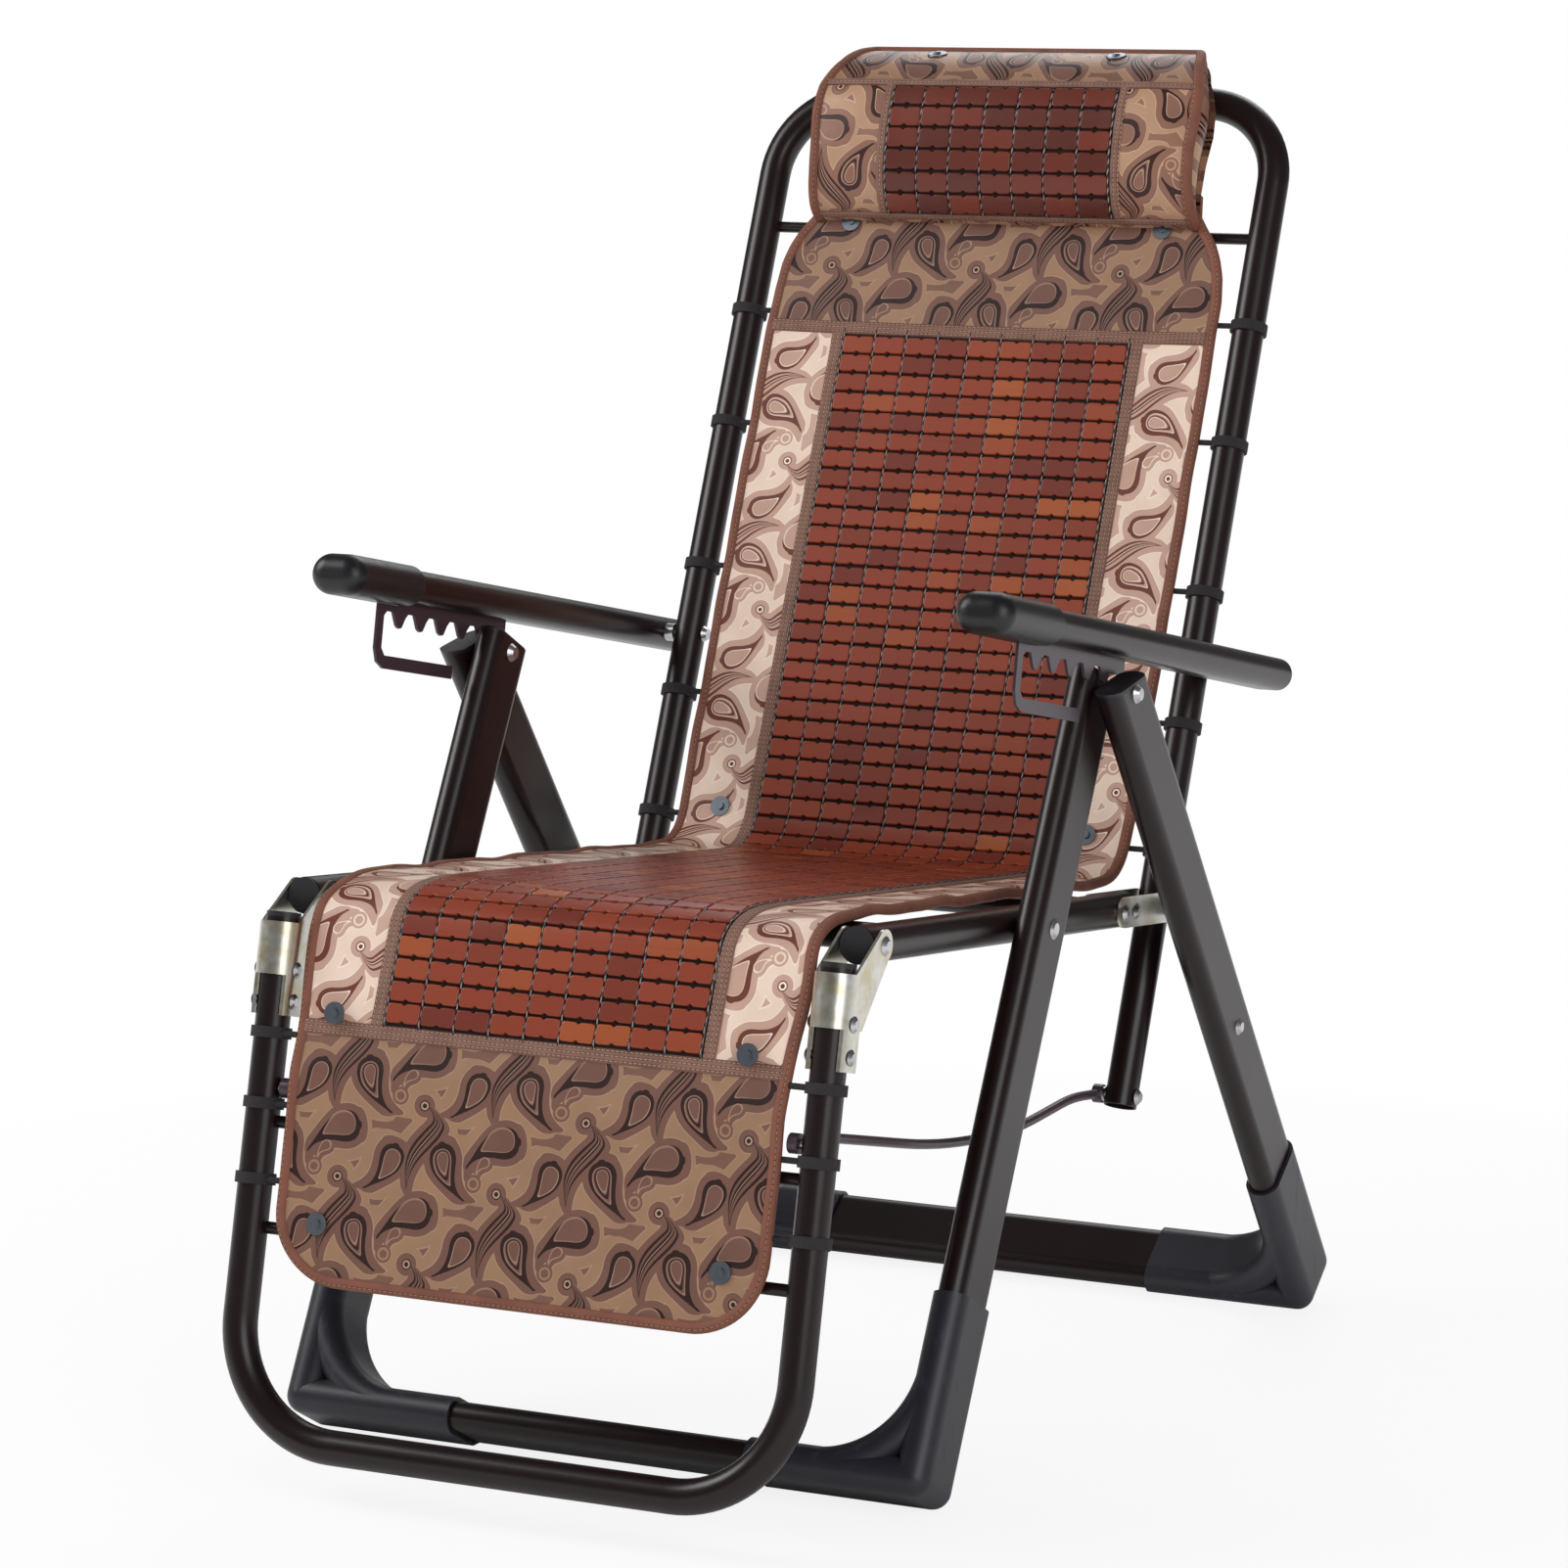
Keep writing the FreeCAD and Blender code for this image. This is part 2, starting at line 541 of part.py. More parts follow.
def leg_cap(label, frame, centre, top):
    """A plug over the open end of a leg tube, rounded at its corners."""
    body = doc.addObject("PartDesign::Body", label + "_right")
    sketch = new_sketch(body, label + "_outline", "XY_Plane", top)
    sizes = {"radius": "Sizes.oval_thick / 2", "flat": "Frames.oval_flat", "centre": centre}
    draw_slot(sketch, evaluate(centre), derived("oval_flat"), size("oval_thick") / 2, "edge", sizes)
    pad = body.newObject("PartDesign::Pad", label + "_pad")
    pad.Profile = sketch
    bind(pad, {"Length": "Sizes.cap_thick"})
    doc.recompute()
    edges = [f"Edge{index + 1}" for index, line in enumerate(pad.Shape.Edges)
             if line.CenterOfMass.z > evaluate(top) + size("cap_thick") - 0.01]
    soft = body.newObject("PartDesign::Fillet", label + "_soft")
    soft.Base = (pad, edges)
    bind(soft, {"Radius": "Sizes.cap_thick * 0.8"})
    place(body, frame)
    doc.recompute()
    pair(label, body)


leg_cap("front_leg_caps", "front", "Frames.front_x", "Sizes.front_top")
column = doc.addObject("PartDesign::Body", "rear_cap_column")
column_sketch = new_sketch(column, "rear_cap_outline", "XY_Plane")
draw_slot(column_sketch, derived("rear_x"), derived("oval_flat"), size("oval_thick") / 2, "edge", {
    "radius": "Sizes.oval_thick / 2", "flat": "Frames.oval_flat", "centre": "Frames.rear_x"})
column_pad = column.newObject("PartDesign::Pad", "rear_cap_pad")
column_pad.Profile = column_sketch
column_pad.Midplane = True
bind(column_pad, {"Length": "Sizes.oval_width * 3"})
rear_cap = common("rear_cap_solid", column, slanted_slab("rear_cap_slab", "Sizes.cap_thick"))
pair("rear_leg_caps", place(rear_cap, "rear"))


def upright_oval(name, radius, length, x, z):
    """A solid oval bar up the leg whose wide way runs front to rear."""
    half = "Frames.oval_flat / 2"
    return [
        cylinder(name + "_front", radius, length, "Z", x, f"-{half}", z),
        cylinder(name + "_rear", radius, length, "Z", x, half, z),
        block(name + "_mid", f"({radius}) * 2", "Frames.oval_flat", length, f"{x} - ({radius})", f"-{half}", z),
    ]


def floor_oval(name, radius, length, x, z):
    """A solid oval bar along the floor whose wide way runs front to rear."""
    half = "Frames.oval_flat / 2"
    return [
        cylinder(name + "_front", radius, length, "X", x, f"-{half}", z),
        cylinder(name + "_rear", radius, length, "X", x, half, z),
        block(name + "_mid", length, "Frames.oval_flat", f"({radius}) * 2", x, f"-{half}", f"{z} - ({radius})"),
    ]


def shoe(label, frame, centre, reach):
    """A plastic boot round the bend of a leg frame: square heel outside, curved inside, flat sole."""
    half = evaluate(centre)
    low = evaluate(reach)
    bend = size("leg_bend")
    edge = Sketcher.Constraint
    bodies = []
    for tag, radius in (("sleeve", "Frames.shoe_radius - Sizes.shoe_wall / 5"),
                        ("room", "Sizes.oval_thick / 2 + Sizes.shoe_fit")):
        body = doc.addObject("PartDesign::Body", f"{label}_{tag}")
        path = new_sketch(body, f"{label}_{tag}_path", "XZ_Plane")
        path.addGeometry([
            Part.LineSegment(Vector(half, -low + size("shoe_up"), 0), Vector(half, -low + bend, 0)),
            Part.ArcOfCircle(Part.Circle(Vector(half - bend, -low + bend, 0), Vector(0, 0, 1), bend),
                             1.5 * math.pi, 2 * math.pi),
            Part.LineSegment(Vector(half - bend, -low, 0), Vector(half - size("shoe_in"), -low, 0)),
        ], False)
        path.addConstraint([
            edge("Tangent", 0, 2, 1, 2),
            edge("Tangent", 1, 1, 2, 1),
            edge("Vertical", 0),
            edge("Horizontal", 2),
        ])
        dimension(path, edge("Radius", 1, bend), "bend", "Sizes.leg_bend")
        dimension(path, edge("DistanceX", -1, 1, 0, 1, half), "half", centre)
        dimension(path, edge("DistanceY", 2, 2, -1, 1, low), "reach", reach)
        dimension(path, edge("DistanceY", 2, 2, 0, 1, size("shoe_up")), "up", "Sizes.shoe_up")
        dimension(path, edge("DistanceX", 2, 2, 0, 1, size("shoe_in")), "inward", "Sizes.shoe_in")
        section = new_sketch(body, f"{label}_{tag}_section", "XY_Plane", f"Sizes.shoe_up - {reach}")
        draw_slot(section, half, derived("oval_flat"), evaluate(radius), "outer",
                  {"radius": radius, "flat": "Frames.oval_flat", "centre": centre})
        doc.recompute()
        tube = body.newObject("PartDesign::AdditivePipe", f"{label}_{tag}_tube")
        tube.Profile = section
        tube.Spine = (path, ["Edge1", "Edge2", "Edge3"])
        bodies.append(body)
    thick = "Frames.shoe_radius"
    heel = [bodies[0]]
    heel += upright_oval(label + "_column", thick, "Sizes.shoe_up", centre, f"-{reach}")
    heel += floor_oval(label + "_bar", thick, "Sizes.shoe_in", f"{centre} - Sizes.shoe_in", f"-{reach}")
    heel.append(cylinder(label + "_heel", thick, "Frames.oval_flat", "Y", centre, "-Frames.oval_flat / 2", f"-{reach}"))
    for tag, y in (("front", "-Frames.oval_flat / 2"), ("rear", "Frames.oval_flat / 2")):
        ball = doc.addObject("Part::Sphere", f"{label}_ball_{tag}")
        bind(ball, {"Radius": thick})
        heel.append(at(ball, centre, y, f"-{reach}"))
    heel.append(block(label + "_fill", "Sizes.leg_bend / 3", "Frames.oval_flat", "Sizes.leg_bend / 3",
                      f"{centre} - Sizes.leg_bend / 3", "-Frames.oval_flat / 2", f"-{reach}"))
    hollow = place(cut(label + "_hollow", fuse(label + "_boot", heel), [bodies[1]]), frame)
    depth = "Sizes.leg_bend"
    floor = block(label + "_floor", "Frames.rear_x * 4", "Sizes.apex_z * 4", depth,
                  "-Frames.rear_x * 2", "-Sizes.apex_z * 2", "-" + depth)
    both(label, cut(label + "_cut", hollow, [floor]))


shoe("front_shoe", "front", "Frames.front_x", "Frames.front_reach")
shoe("rear_shoe", "rear", "Frames.rear_x", "Frames.rear_reach")

# Apex bolts join front and rear legs and run in the racks' slots.
head = "Sizes.bolt_d * 0.8"
apex = place(fuse("apex_solid", [
    cylinder("apex_shank", "Sizes.bolt_d / 2", "Frames.rear_out - Frames.front_in + 0.4 + Sizes.side_gap",
             "X", "Frames.front_in - 0.2"),
    cone("apex_head", head, "Sizes.bolt_d * 0.5", "Sizes.bolt_d * 0.4",
         "Frames.rear_out + Sizes.side_gap"),
    cone("apex_foot", head, "Sizes.bolt_d * 0.5", "Sizes.bolt_d * 0.4", "Frames.front_in",
         outward=False),
]), "front")
pair("apex_bolts", apex)

# Bolts of the side links on the rear legs; each stops a little short of its link.
link_bolt = place(fuse("link_bolt_solid", [
    cylinder("link_bolt_shank", "Sizes.pin_d / 2", "Sizes.oval_thick + 2.5", "X",
             "Frames.rear_in - 2.5", "0", "-Sizes.link_drop"),
    cylinder("link_bolt_collar", "Sizes.pin_d", "2.5", "X", "Frames.rear_in - 2.5", "0",
             "-Sizes.link_drop"),
    cone("link_bolt_head", "Sizes.pin_d * 0.9", "Sizes.pin_d * 0.5", "Sizes.pin_d * 0.4",
         "Frames.rear_out", "0", "-Sizes.link_drop"),
]), "rear")
pair("link_bolts", link_bolt)

# Seat rails, their hinge plates, bolts, washers and cross tubes.
rail_end = "Frames.rail_length + Sizes.rail_nose"
rail_span = "Frames.rail_length + Sizes.rail_nose - Sizes.hinge_gap"


def across(name, radius, y, z="0"):
    """A boring tool right through one side of the frame."""
    return cylinder(name, radius, "Sizes.rail_d * 2", "X", "Frames.rail_x - Sizes.rail_d", y, z)


rail = cut("rail_solid", cylinder("rail_rod", "Sizes.rail_d / 2", rail_span, "Y", "Frames.rail_x",
                                  f"-({rail_end})"), [
    cylinder("rail_bore", "Sizes.rail_d / 2 - Sizes.wall", rail_span + " + 2", "Y", "Frames.rail_x",
             f"-({rail_end}) - 1"),
    across("rail_knee_hole", "Sizes.pin_d / 2", "-Frames.rail_length"),
    across("rail_bolt_hole", "Sizes.bolt_d / 2", "-Sizes.rail_rear"),
    across("rail_rivet_hole_a", "Frames.rivet_hole", "-Sizes.hinge_rivet_a"),
    across("rail_rivet_hole_b", "Frames.rivet_hole", "-Sizes.hinge_rivet_b"),
])
both("seat_rail", place(rail, "seat"))


def hinge_plate(tag, x):
    """A round ended strap from the rail's end to the back hinge."""
    round_end = "Sizes.hinge_height / 2"
    solid = fuse(f"strap_{tag}", [
        block(f"strap_{tag}_bar", "Sizes.hinge_plate", "Sizes.hinge_rivet_b", "Sizes.hinge_height", x,
              "-Sizes.hinge_rivet_b", f"-{round_end}"),
        cylinder(f"strap_{tag}_end", round_end, "Sizes.hinge_plate", "X", x),
        cylinder(f"strap_{tag}_root", round_end, "Sizes.hinge_plate", "X", x, "-Sizes.hinge_rivet_b"),
    ])
    return cut(f"strap_{tag}_solid", solid, [
        across(f"strap_{tag}_bolt", "Sizes.bolt_d / 2", "0"),
        across(f"strap_{tag}_rivet_a", "Frames.rivet_hole", "-Sizes.hinge_rivet_a"),
        across(f"strap_{tag}_rivet_b", "Frames.rivet_hole", "-Sizes.hinge_rivet_b"),
    ])


plate_out = "Frames.rail_out + Sizes.side_gap"
plate_in = "Frames.rail_in - Sizes.side_gap - Sizes.hinge_plate"
straps = group("strap_pair", [hinge_plate("outer", plate_out), hinge_plate("inner", plate_in)])
pair("back_hinge_plates", place(straps, "seat"))

rivets = []
for tag, y in (("a", "-Sizes.hinge_rivet_a"), ("b", "-Sizes.hinge_rivet_b")):
    start = plate_in
    stop = plate_out + " + Sizes.hinge_plate"
    rivets.append(fuse(f"rail_rivet_{tag}", [
        cylinder(f"rail_rivet_{tag}_shank", "Sizes.rivet_d / 2", f"({stop}) - ({start})", "X", start, y),
        cone(f"rail_rivet_{tag}_head", "Sizes.rivet_d", "Sizes.rivet_d * 0.5", "Sizes.rivet_d * 0.4", stop, y),
        cone(f"rail_rivet_{tag}_foot", "Sizes.rivet_d", "Sizes.rivet_d * 0.5", "Sizes.rivet_d * 0.4", start,
             y, outward=False),
    ]))
pair("hinge_rivets", place(group("rail_rivet_pair", rivets), "seat"))

hinge_end = "Frames.link_low + Sizes.link_plate + Sizes.side_gap"
hinge_bolt = place(fuse("hinge_bolt_solid", [
    cylinder("hinge_bolt_shank", "Sizes.bolt_d / 2", f"({hinge_end}) - ({plate_in})", "X", plate_in),
    cylinder("hinge_bolt_sleeve", "Sizes.bolt_d * 0.8",
             f"Frames.link_low - Sizes.side_gap - ({plate_out} + Sizes.hinge_plate)", "X",
             plate_out + " + Sizes.hinge_plate"),
    cone("hinge_bolt_foot", "Sizes.bolt_d * 0.8", "Sizes.bolt_d * 0.6", "Sizes.bolt_d * 0.4", plate_in,
         outward=False),
    cylinder("hinge_bolt_knob", "Sizes.bolt_d * 0.66", "Sizes.bolt_d * 0.8", "X", hinge_end),
]), "seat")
pair("back_hinge_bolts", hinge_bolt)

seat_bolt = place(fuse("seat_bolt_solid", [
    cylinder("seat_bolt_shank", "Sizes.bolt_d / 2", "Frames.front_out + Sizes.side_gap - Frames.rail_in",
             "X", "Frames.rail_in", "-Sizes.rail_rear"),
    cone("seat_bolt_head", "Sizes.bolt_d * 0.85", "Sizes.bolt_d * 0.5", "Sizes.bolt_d * 0.22",
         "Frames.front_out + Sizes.side_gap", "-Sizes.rail_rear"),
    cone("seat_bolt_foot", "Sizes.bolt_d * 0.85", "Sizes.bolt_d * 0.6", "Sizes.bolt_d * 0.4",
         "Frames.rail_in", "-Sizes.rail_rear", outward=False),
]), "seat")
pair("seat_pivot_bolts", seat_bolt)
washer = cut("washer_solid", cylinder("washer_disc", "Sizes.bolt_d * 1.1", "Sizes.washer_thick", "X",
                                      "Frames.rail_out", "-Sizes.rail_rear"), [
    across("washer_hole", "Sizes.bolt_d / 2 + 0.1", "-Sizes.rail_rear")])
pair("pivot_washers", place(washer, "seat"))


def coped_tube(name, radius, y, z):
    """A hollow tube between the seat rails with ends shaped to their round sides."""
    reach = "Frames.rail_x"
    shell = cylinder(name + "_rod", radius, f"{reach} * 2", "X", f"-{reach}", y, z)
    tools = [cylinder(name + "_bore", f"{radius} - Sizes.wall", f"{reach} * 2 + 2", "X", f"-{reach} - 1", y, z)]
    for side, sign in (("right", ""), ("left", "-")):
        tools.append(cylinder(f"{name}_{side}", "Sizes.rail_d / 2 + 0.05", "Frames.rail_length + 100", "Y",
                              f"{sign}{reach}", "-Frames.rail_length - 50"))
    return cut(name + "_solid", shell, tools)


# The mat lies on the cross tubes, so their height follows the rail's top.
cross_z = "Sizes.rail_d / 2 - 2 - Sizes.mat_gap - Sizes.seat_tube_d / 2"
cross = [
    coped_tube("cross_front", "Sizes.seat_tube_d / 2", "-Frames.rail_length + Sizes.cross_front", cross_z),
    coped_tube("cross_rear", "Sizes.seat_tube_d / 2", "-Sizes.cross_rear", cross_z),
]
node("seat_cross_tube_front", place(cross[0], "seat"))
node("seat_cross_tube_rear", place(cross[1], "seat"))

plugs = []
for tag, y in (("front", f"-({rail_end}) - 2"), ("rear", "-Sizes.hinge_gap")):
    plugs.append(cylinder(f"rail_plug_{tag}", "Sizes.rail_d / 2 - 0.4", "2", "Y", "Frames.rail_x", y))
pair("rail_end_plugs", place(group("rail_plug_pair", plugs), "seat"))


def rounded_panel(name, role, half, low, high, low_round, high_round, start, thick):
    """A flat panel with rounded corners between two bound levels of its frame."""
    edge = Sketcher.Constraint
    body = doc.addObject("PartDesign::Body", name)
    sketch = new_sketch(body, name + "_outline", role, start)
    w, a, b = evaluate(half), evaluate(low), evaluate(high)
    p, q = evaluate(low_round), evaluate(high_round)
    corners = [(w - p, a + p, p, 1.5), (w - q, b - q, q, 0.0), (-w + q, b - q, q, 0.5), (-w + p, a + p, p, 1.0)]
    sides = [(-w + p, a, w - p, a), (w, a + p, w, b - q), (w - q, b, -w + q, b), (-w, b - q, -w, a + p)]
    for (x0, y0, x1, y1), (cx, cy, r, turn) in zip(sides, corners):
        arc = Part.Circle(Vector(cx, cy, 0), Vector(0, 0, 1), r)
        sketch.addGeometry(Part.LineSegment(Vector(x0, y0, 0), Vector(x1, y1, 0)), False)
        sketch.addGeometry(Part.ArcOfCircle(arc, turn * math.pi, (turn + 0.5) * math.pi), False)
    for index in range(4):
        sketch.addConstraint(edge("Tangent", 2 * index, 2, 2 * index + 1, 1))
        sketch.addConstraint(edge("Tangent", 2 * index + 1, 2, (2 * index + 2) % 8, 1))
        if index:
            sketch.addConstraint(edge("Horizontal" if index % 2 == 0 else "Vertical", 2 * index))
    sketch.addConstraint(edge("Equal", 1, 7))
    sketch.addConstraint(edge("Equal", 3, 5))
    sketch.addConstraint(edge("Symmetric", 0, 1, 0, 2, -2))
    dimension(sketch, edge("Radius", 1, p), "low_round", low_round)
    dimension(sketch, edge("Radius", 3, q), "high_round", high_round)
    dimension(sketch, edge("DistanceX", -1, 1, 2, 1, w), "half", half)
    dimension(sketch, edge("DistanceY", 0, 1, 4, 1, b - a), "rise", f"({high}) - ({low})")
    if a >= 0:
        dimension(sketch, edge("DistanceY", -1, 1, 0, 1, a), "low", low)
    else:
        dimension(sketch, edge("DistanceY", 0, 1, -1, 1, -a), "low", f"-({low})")
    pad = body.newObject("PartDesign::Pad", name + "_pad")
    pad.Profile = sketch
    bind(pad, {"Length": thick})
    return body


seat_mat = rounded_panel("seat_mat_solid", "XY_Plane", "Sizes.mat_half",
                         "-Frames.rail_length + Sizes.seat_mat_front", "-Sizes.seat_mat_rear",
                         "Sizes.mat_thick", "Sizes.mat_thick", "Sizes.rail_d / 2 - 2", "Sizes.mat_thick")
node("seat_mat", place(seat_mat, "seat"))

# Back: the bent tube, its head bar, the laced mat and the pillow.
back_tube = u_frame("back_frame", "back", "Frames.rail_x", "Sizes.tail_drop", "Frames.back_rise",
                    "Sizes.back_bend", 1, round_section)
bore(back_tube, "back_bore", [
    (0.0, "", derived("bolt_hole"), "Frames.bolt_hole"),
    (size("arm_pivot"), "Sizes.arm_pivot", derived("pin_hole"), "Frames.pin_hole"),
    (-size("rod_pivot"), "Sizes.rod_pivot", derived("pin_hole"), "Frames.pin_hole"),
])
node("back_tube", back_tube)


def thin_bar(name, up):
    """A thin bar between the two tubes of a frame, just behind the mat."""
    reach = "Frames.tube_in"
    return cylinder(name, "Sizes.bar_d / 2", f"{reach} * 2", "X", f"-{reach}", "Frames.bar_set", up)


node("head_bar", place(group("head_bar_solid", [thin_bar("head_bar_rod", "Frames.head_bar_up")]), "back"))
mat_front = "Sizes.mat_gap * 4 + Sizes.mat_gap"
back_mat = rounded_panel("back_mat_solid", "XZ_Plane", "Sizes.mat_half", "Sizes.back_mat_low",
                         "Sizes.back_mat_high", "Sizes.mat_thick", "Sizes.mat_thick", mat_front,
                         "Sizes.mat_thick")
node("back_mat", place(back_mat, "back"))


def lacing(label, frame, heights):
    """Clips round the side tubes, each with a short lace to the edge of the mat."""
    pieces = []
    middle = "-(Sizes.mat_gap * 5 + Sizes.mat_thick / 2)"
    for index, up in enumerate(heights):
        tag = f"{label}_{index}"
        ring = cut(tag + "_ring", cylinder(tag + "_band", "Sizes.tube_d / 2 + Sizes.clip_wall",
                                           "Sizes.clip_width", "Z", "Frames.rail_x", "0",
                                           f"{up} - Sizes.clip_width / 2"), [
            cylinder(tag + "_hole", "Sizes.tube_d / 2 + 0.1", "Sizes.clip_width + 2", "Z", "Frames.rail_x",
                     "0", f"{up} - Sizes.clip_width / 2 - 1")])
        lace = cylinder(tag + "_lace", "Sizes.lace_d / 2",
                        "Frames.tube_in - Sizes.mat_half - 0.2 + Sizes.tube_d / 3", "X",
                        "Sizes.mat_half + 0.2", middle, up)
        clear = cylinder(tag + "_clear", "Sizes.tube_d / 2 + 0.1", "Sizes.clip_width + 2", "Z",
                         "Frames.rail_x", "0", f"{up} - Sizes.clip_width / 2 - 1")
        pieces.append(fuse(tag, [ring, cut(tag + "_end", lace, [clear])]))
    pair(label, place(group(label + "_side", pieces), frame))


lacing("back_lacing", "back", [f"(Sizes.back_mat_low + (Sizes.back_mat_high - Sizes.back_mat_low) * {share})"
                               for share in (0.02, 0.2062, 0.4026, 0.627, 0.8052)])


def pillow_shape():
    """A plump roll: rounded sections along X, thick in the middle and drawn in at the ends."""
    sections = []
    height = (derived("pillow_high") - derived("pillow_low")) / 2
    middle = (derived("pillow_high") + derived("pillow_low")) / 2
    half = size("pillow_half")
    base = size("tube_d") / 2 + size("mat_gap")
    for share, crown, tall in ((-1.0, 0.5, 0.93), (-0.93, 0.82, 0.99), (-0.5, 1.0, 1.0), (0.0, 1.0, 1.0),
                               (0.5, 1.0, 1.0), (0.93, 0.82, 0.99), (1.0, 0.5, 0.93)):
        x = share * half
        depth = size("pillow_thick") * crown
        rise = height * tall
        front = -base - depth
        back = -base
        lift = depth * 0.3
        points = [
            Vector(x, back, middle - rise + lift), Vector(x, (front + back) / 2, middle - rise),
            Vector(x, front, middle - rise + lift * 1.6), Vector(x, front - 2, middle),
            Vector(x, front, middle + rise - lift * 1.6), Vector(x, (front + back) / 2, middle + rise),
            Vector(x, back, middle + rise - lift),
        ]
        edges = [Part.Arc(points[0], points[0] * 0.3 + points[1] * 0.7 + Vector(0, 0.8, -0.6), points[1]).toShape(),
                 Part.Arc(points[1], points[1] * 0.3 + points[2] * 0.7 + Vector(0, -0.8, -0.6), points[2]).toShape(),
                 Part.Arc(points[2], points[3], points[4]).toShape(),
                 Part.Arc(points[4], points[4] * 0.7 + points[5] * 0.3 + Vector(0, -0.8, 0.6), points[5]).toShape(),
                 Part.Arc(points[5], points[5] * 0.7 + points[6] * 0.3 + Vector(0, 0.8, 0.6), points[6]).toShape(),
                 Part.makeLine(points[6], points[0])]
        sections.append(Part.Wire(edges))
    return Part.makeLoft(sections, True, True)


pillow = doc.addObject("Part::Feature", "pillow_solid")
pillow.Shape = pillow_shape()
node("head_pillow", place(pillow, "back"))


def snaps(label, frame, spots):
    """Round metal snaps on the face of a mat, each a washer with a raised button."""
    pieces = []
    for index, (x, up, face) in enumerate(spots):
        tag = f"{label}_{index}"
        disc = cylinder(tag + "_disc", "Sizes.snap_d / 2", "Sizes.snap_d / 15", "Y", x,
                        f"-({face}) - Sizes.snap_d / 15 - 0.1", up)
        button = cylinder(tag + "_button", "Sizes.snap_d * 0.19", "Sizes.snap_d / 9", "Y", x,
                          f"-({face}) - Sizes.snap_d * 0.145", up)
        pieces.append(fuse(tag, [disc, button]))
    pair(label, place(group(label + "_side", pieces), frame))


mat_face = "Sizes.mat_gap * 5 + Sizes.mat_thick"
snaps("back_snaps", "back", [
    ("Sizes.mat_half * 0.708", "Frames.pillow_low - Sizes.snap_d * 0.78", mat_face),
    ("Sizes.mat_half * 0.82", "Sizes.back_mat_low + Sizes.snap_d * 1.11", mat_face)])

# Leg rest: bent tube, thin bars, knee brackets, mat and lacing.
rest_tube = u_frame("rest_frame", "rest", "Frames.rail_x", "Sizes.rest_top", "Sizes.rest_reach",
                    "Sizes.rest_bend", -1, round_section)
rivet_low = "Sizes.bracket_tail - Sizes.rivet_d * 1.6"
rivet_high = "Sizes.bracket_tail - Sizes.rivet_d * 5.2"
bore(rest_tube, "rest_bore", [
    (-evaluate(rivet_high), rivet_high, derived("rivet_hole"), "Frames.rivet_hole"),
    (-evaluate(rivet_low), rivet_low, derived("rivet_hole"), "Frames.rivet_hole"),
])
node("leg_rest_tube", rest_tube)
node("leg_rest_bar_upper", place(group("bar_a_solid", [thin_bar("bar_a", "-Sizes.rest_bar_a")]), "rest"))
node("leg_rest_bar_lower", place(group("bar_b_solid", [thin_bar("bar_b", "-Sizes.rest_bar_b")]), "rest"))
rest_mat = rounded_panel("rest_mat_solid", "XZ_Plane", "Sizes.mat_half", "-Sizes.rest_mat_low",
                         "Sizes.rest_mat_top", "Sizes.apron_round", "Sizes.mat_thick", mat_front,
                         "Sizes.mat_thick")
node("leg_mat", place(rest_mat, "rest"))
lacing("leg_lacing", "rest", [f"-Sizes.rest_mat_low * {share}" for share in (0.292, 0.4964, 0.7153)])
snaps("leg_snaps", "rest", [
    ("Sizes.mat_half * 0.843", "-Sizes.rest_mat_low * 0.219", mat_face),
    ("Sizes.mat_half * 0.824", "-Sizes.rest_mat_low * 0.825", mat_face)])
rest_plug = cylinder("rest_plug", "Sizes.tube_d / 2 - 0.2", "4", "Z", "Frames.rail_x", "0", "Sizes.rest_top")
pair("leg_rest_plugs", place(group("rest_plug_one", [rest_plug]), "rest"))

bracket_in = "Sizes.rail_d / 2 + Sizes.side_gap"
bracket_out = f"({bracket_in} + Sizes.bracket_wall)"
ear = "Sizes.pin_d * 1.6"
outline = fuse("bracket_outline", [
    block("bracket_sleeve", f"{bracket_out} * 2", f"{bracket_out} + Sizes.tube_d / 2",
          "Sizes.bracket_up + Sizes.bracket_down", f"Frames.rail_x - {bracket_out}", f"-{bracket_out}",
          "-Sizes.bracket_down"),
    block("bracket_flank", f"{bracket_out} * 2", "Sizes.rivet_d * 3", "Sizes.bracket_tail",
          f"Frames.rail_x - {bracket_out}", "-Sizes.rivet_d * 1.5", "-Sizes.bracket_tail"),
    cylinder("bracket_ear", ear, f"{bracket_out} * 2", "X", f"Frames.rail_x - {bracket_out}",
             "Sizes.knee_set", "Sizes.knee_drop"),
])
web = doc.addObject("Part::Feature", "bracket_web")
reach_y, reach_z, ear_r = size("knee_set"), size("knee_drop"), evaluate(ear)
run = math.hypot(reach_y, reach_z)
nx, nz = -reach_z / run * ear_r, reach_y / run * ear_r
corners = [(-4.0, size("bracket_up")), (reach_y + nx, reach_z + nz), (reach_y - nx, reach_z - nz),
           (size("tube_d") / 2, -size("bracket_down")), (-4.0, -size("bracket_down"))]
left_x = derived("rail_x") - evaluate(bracket_out)
face = Part.Face(Part.makePolygon([Vector(left_x, y, z) for y, z in corners + corners[:1]]))
web.Shape = face.extrude(Vector(evaluate(bracket_out) * 2, 0, 0))
envelope = fuse("bracket_envelope", [
    cylinder("bracket_round", bracket_out, "Sizes.rail_d * 8", "Z", "Frames.rail_x", "0", "-Sizes.rail_d * 4"),
    block("bracket_rear", f"{bracket_out} * 2", "Sizes.rail_d * 4", "Sizes.rail_d * 8",
          f"Frames.rail_x - {bracket_out}", "0", "-Sizes.rail_d * 4"),
])
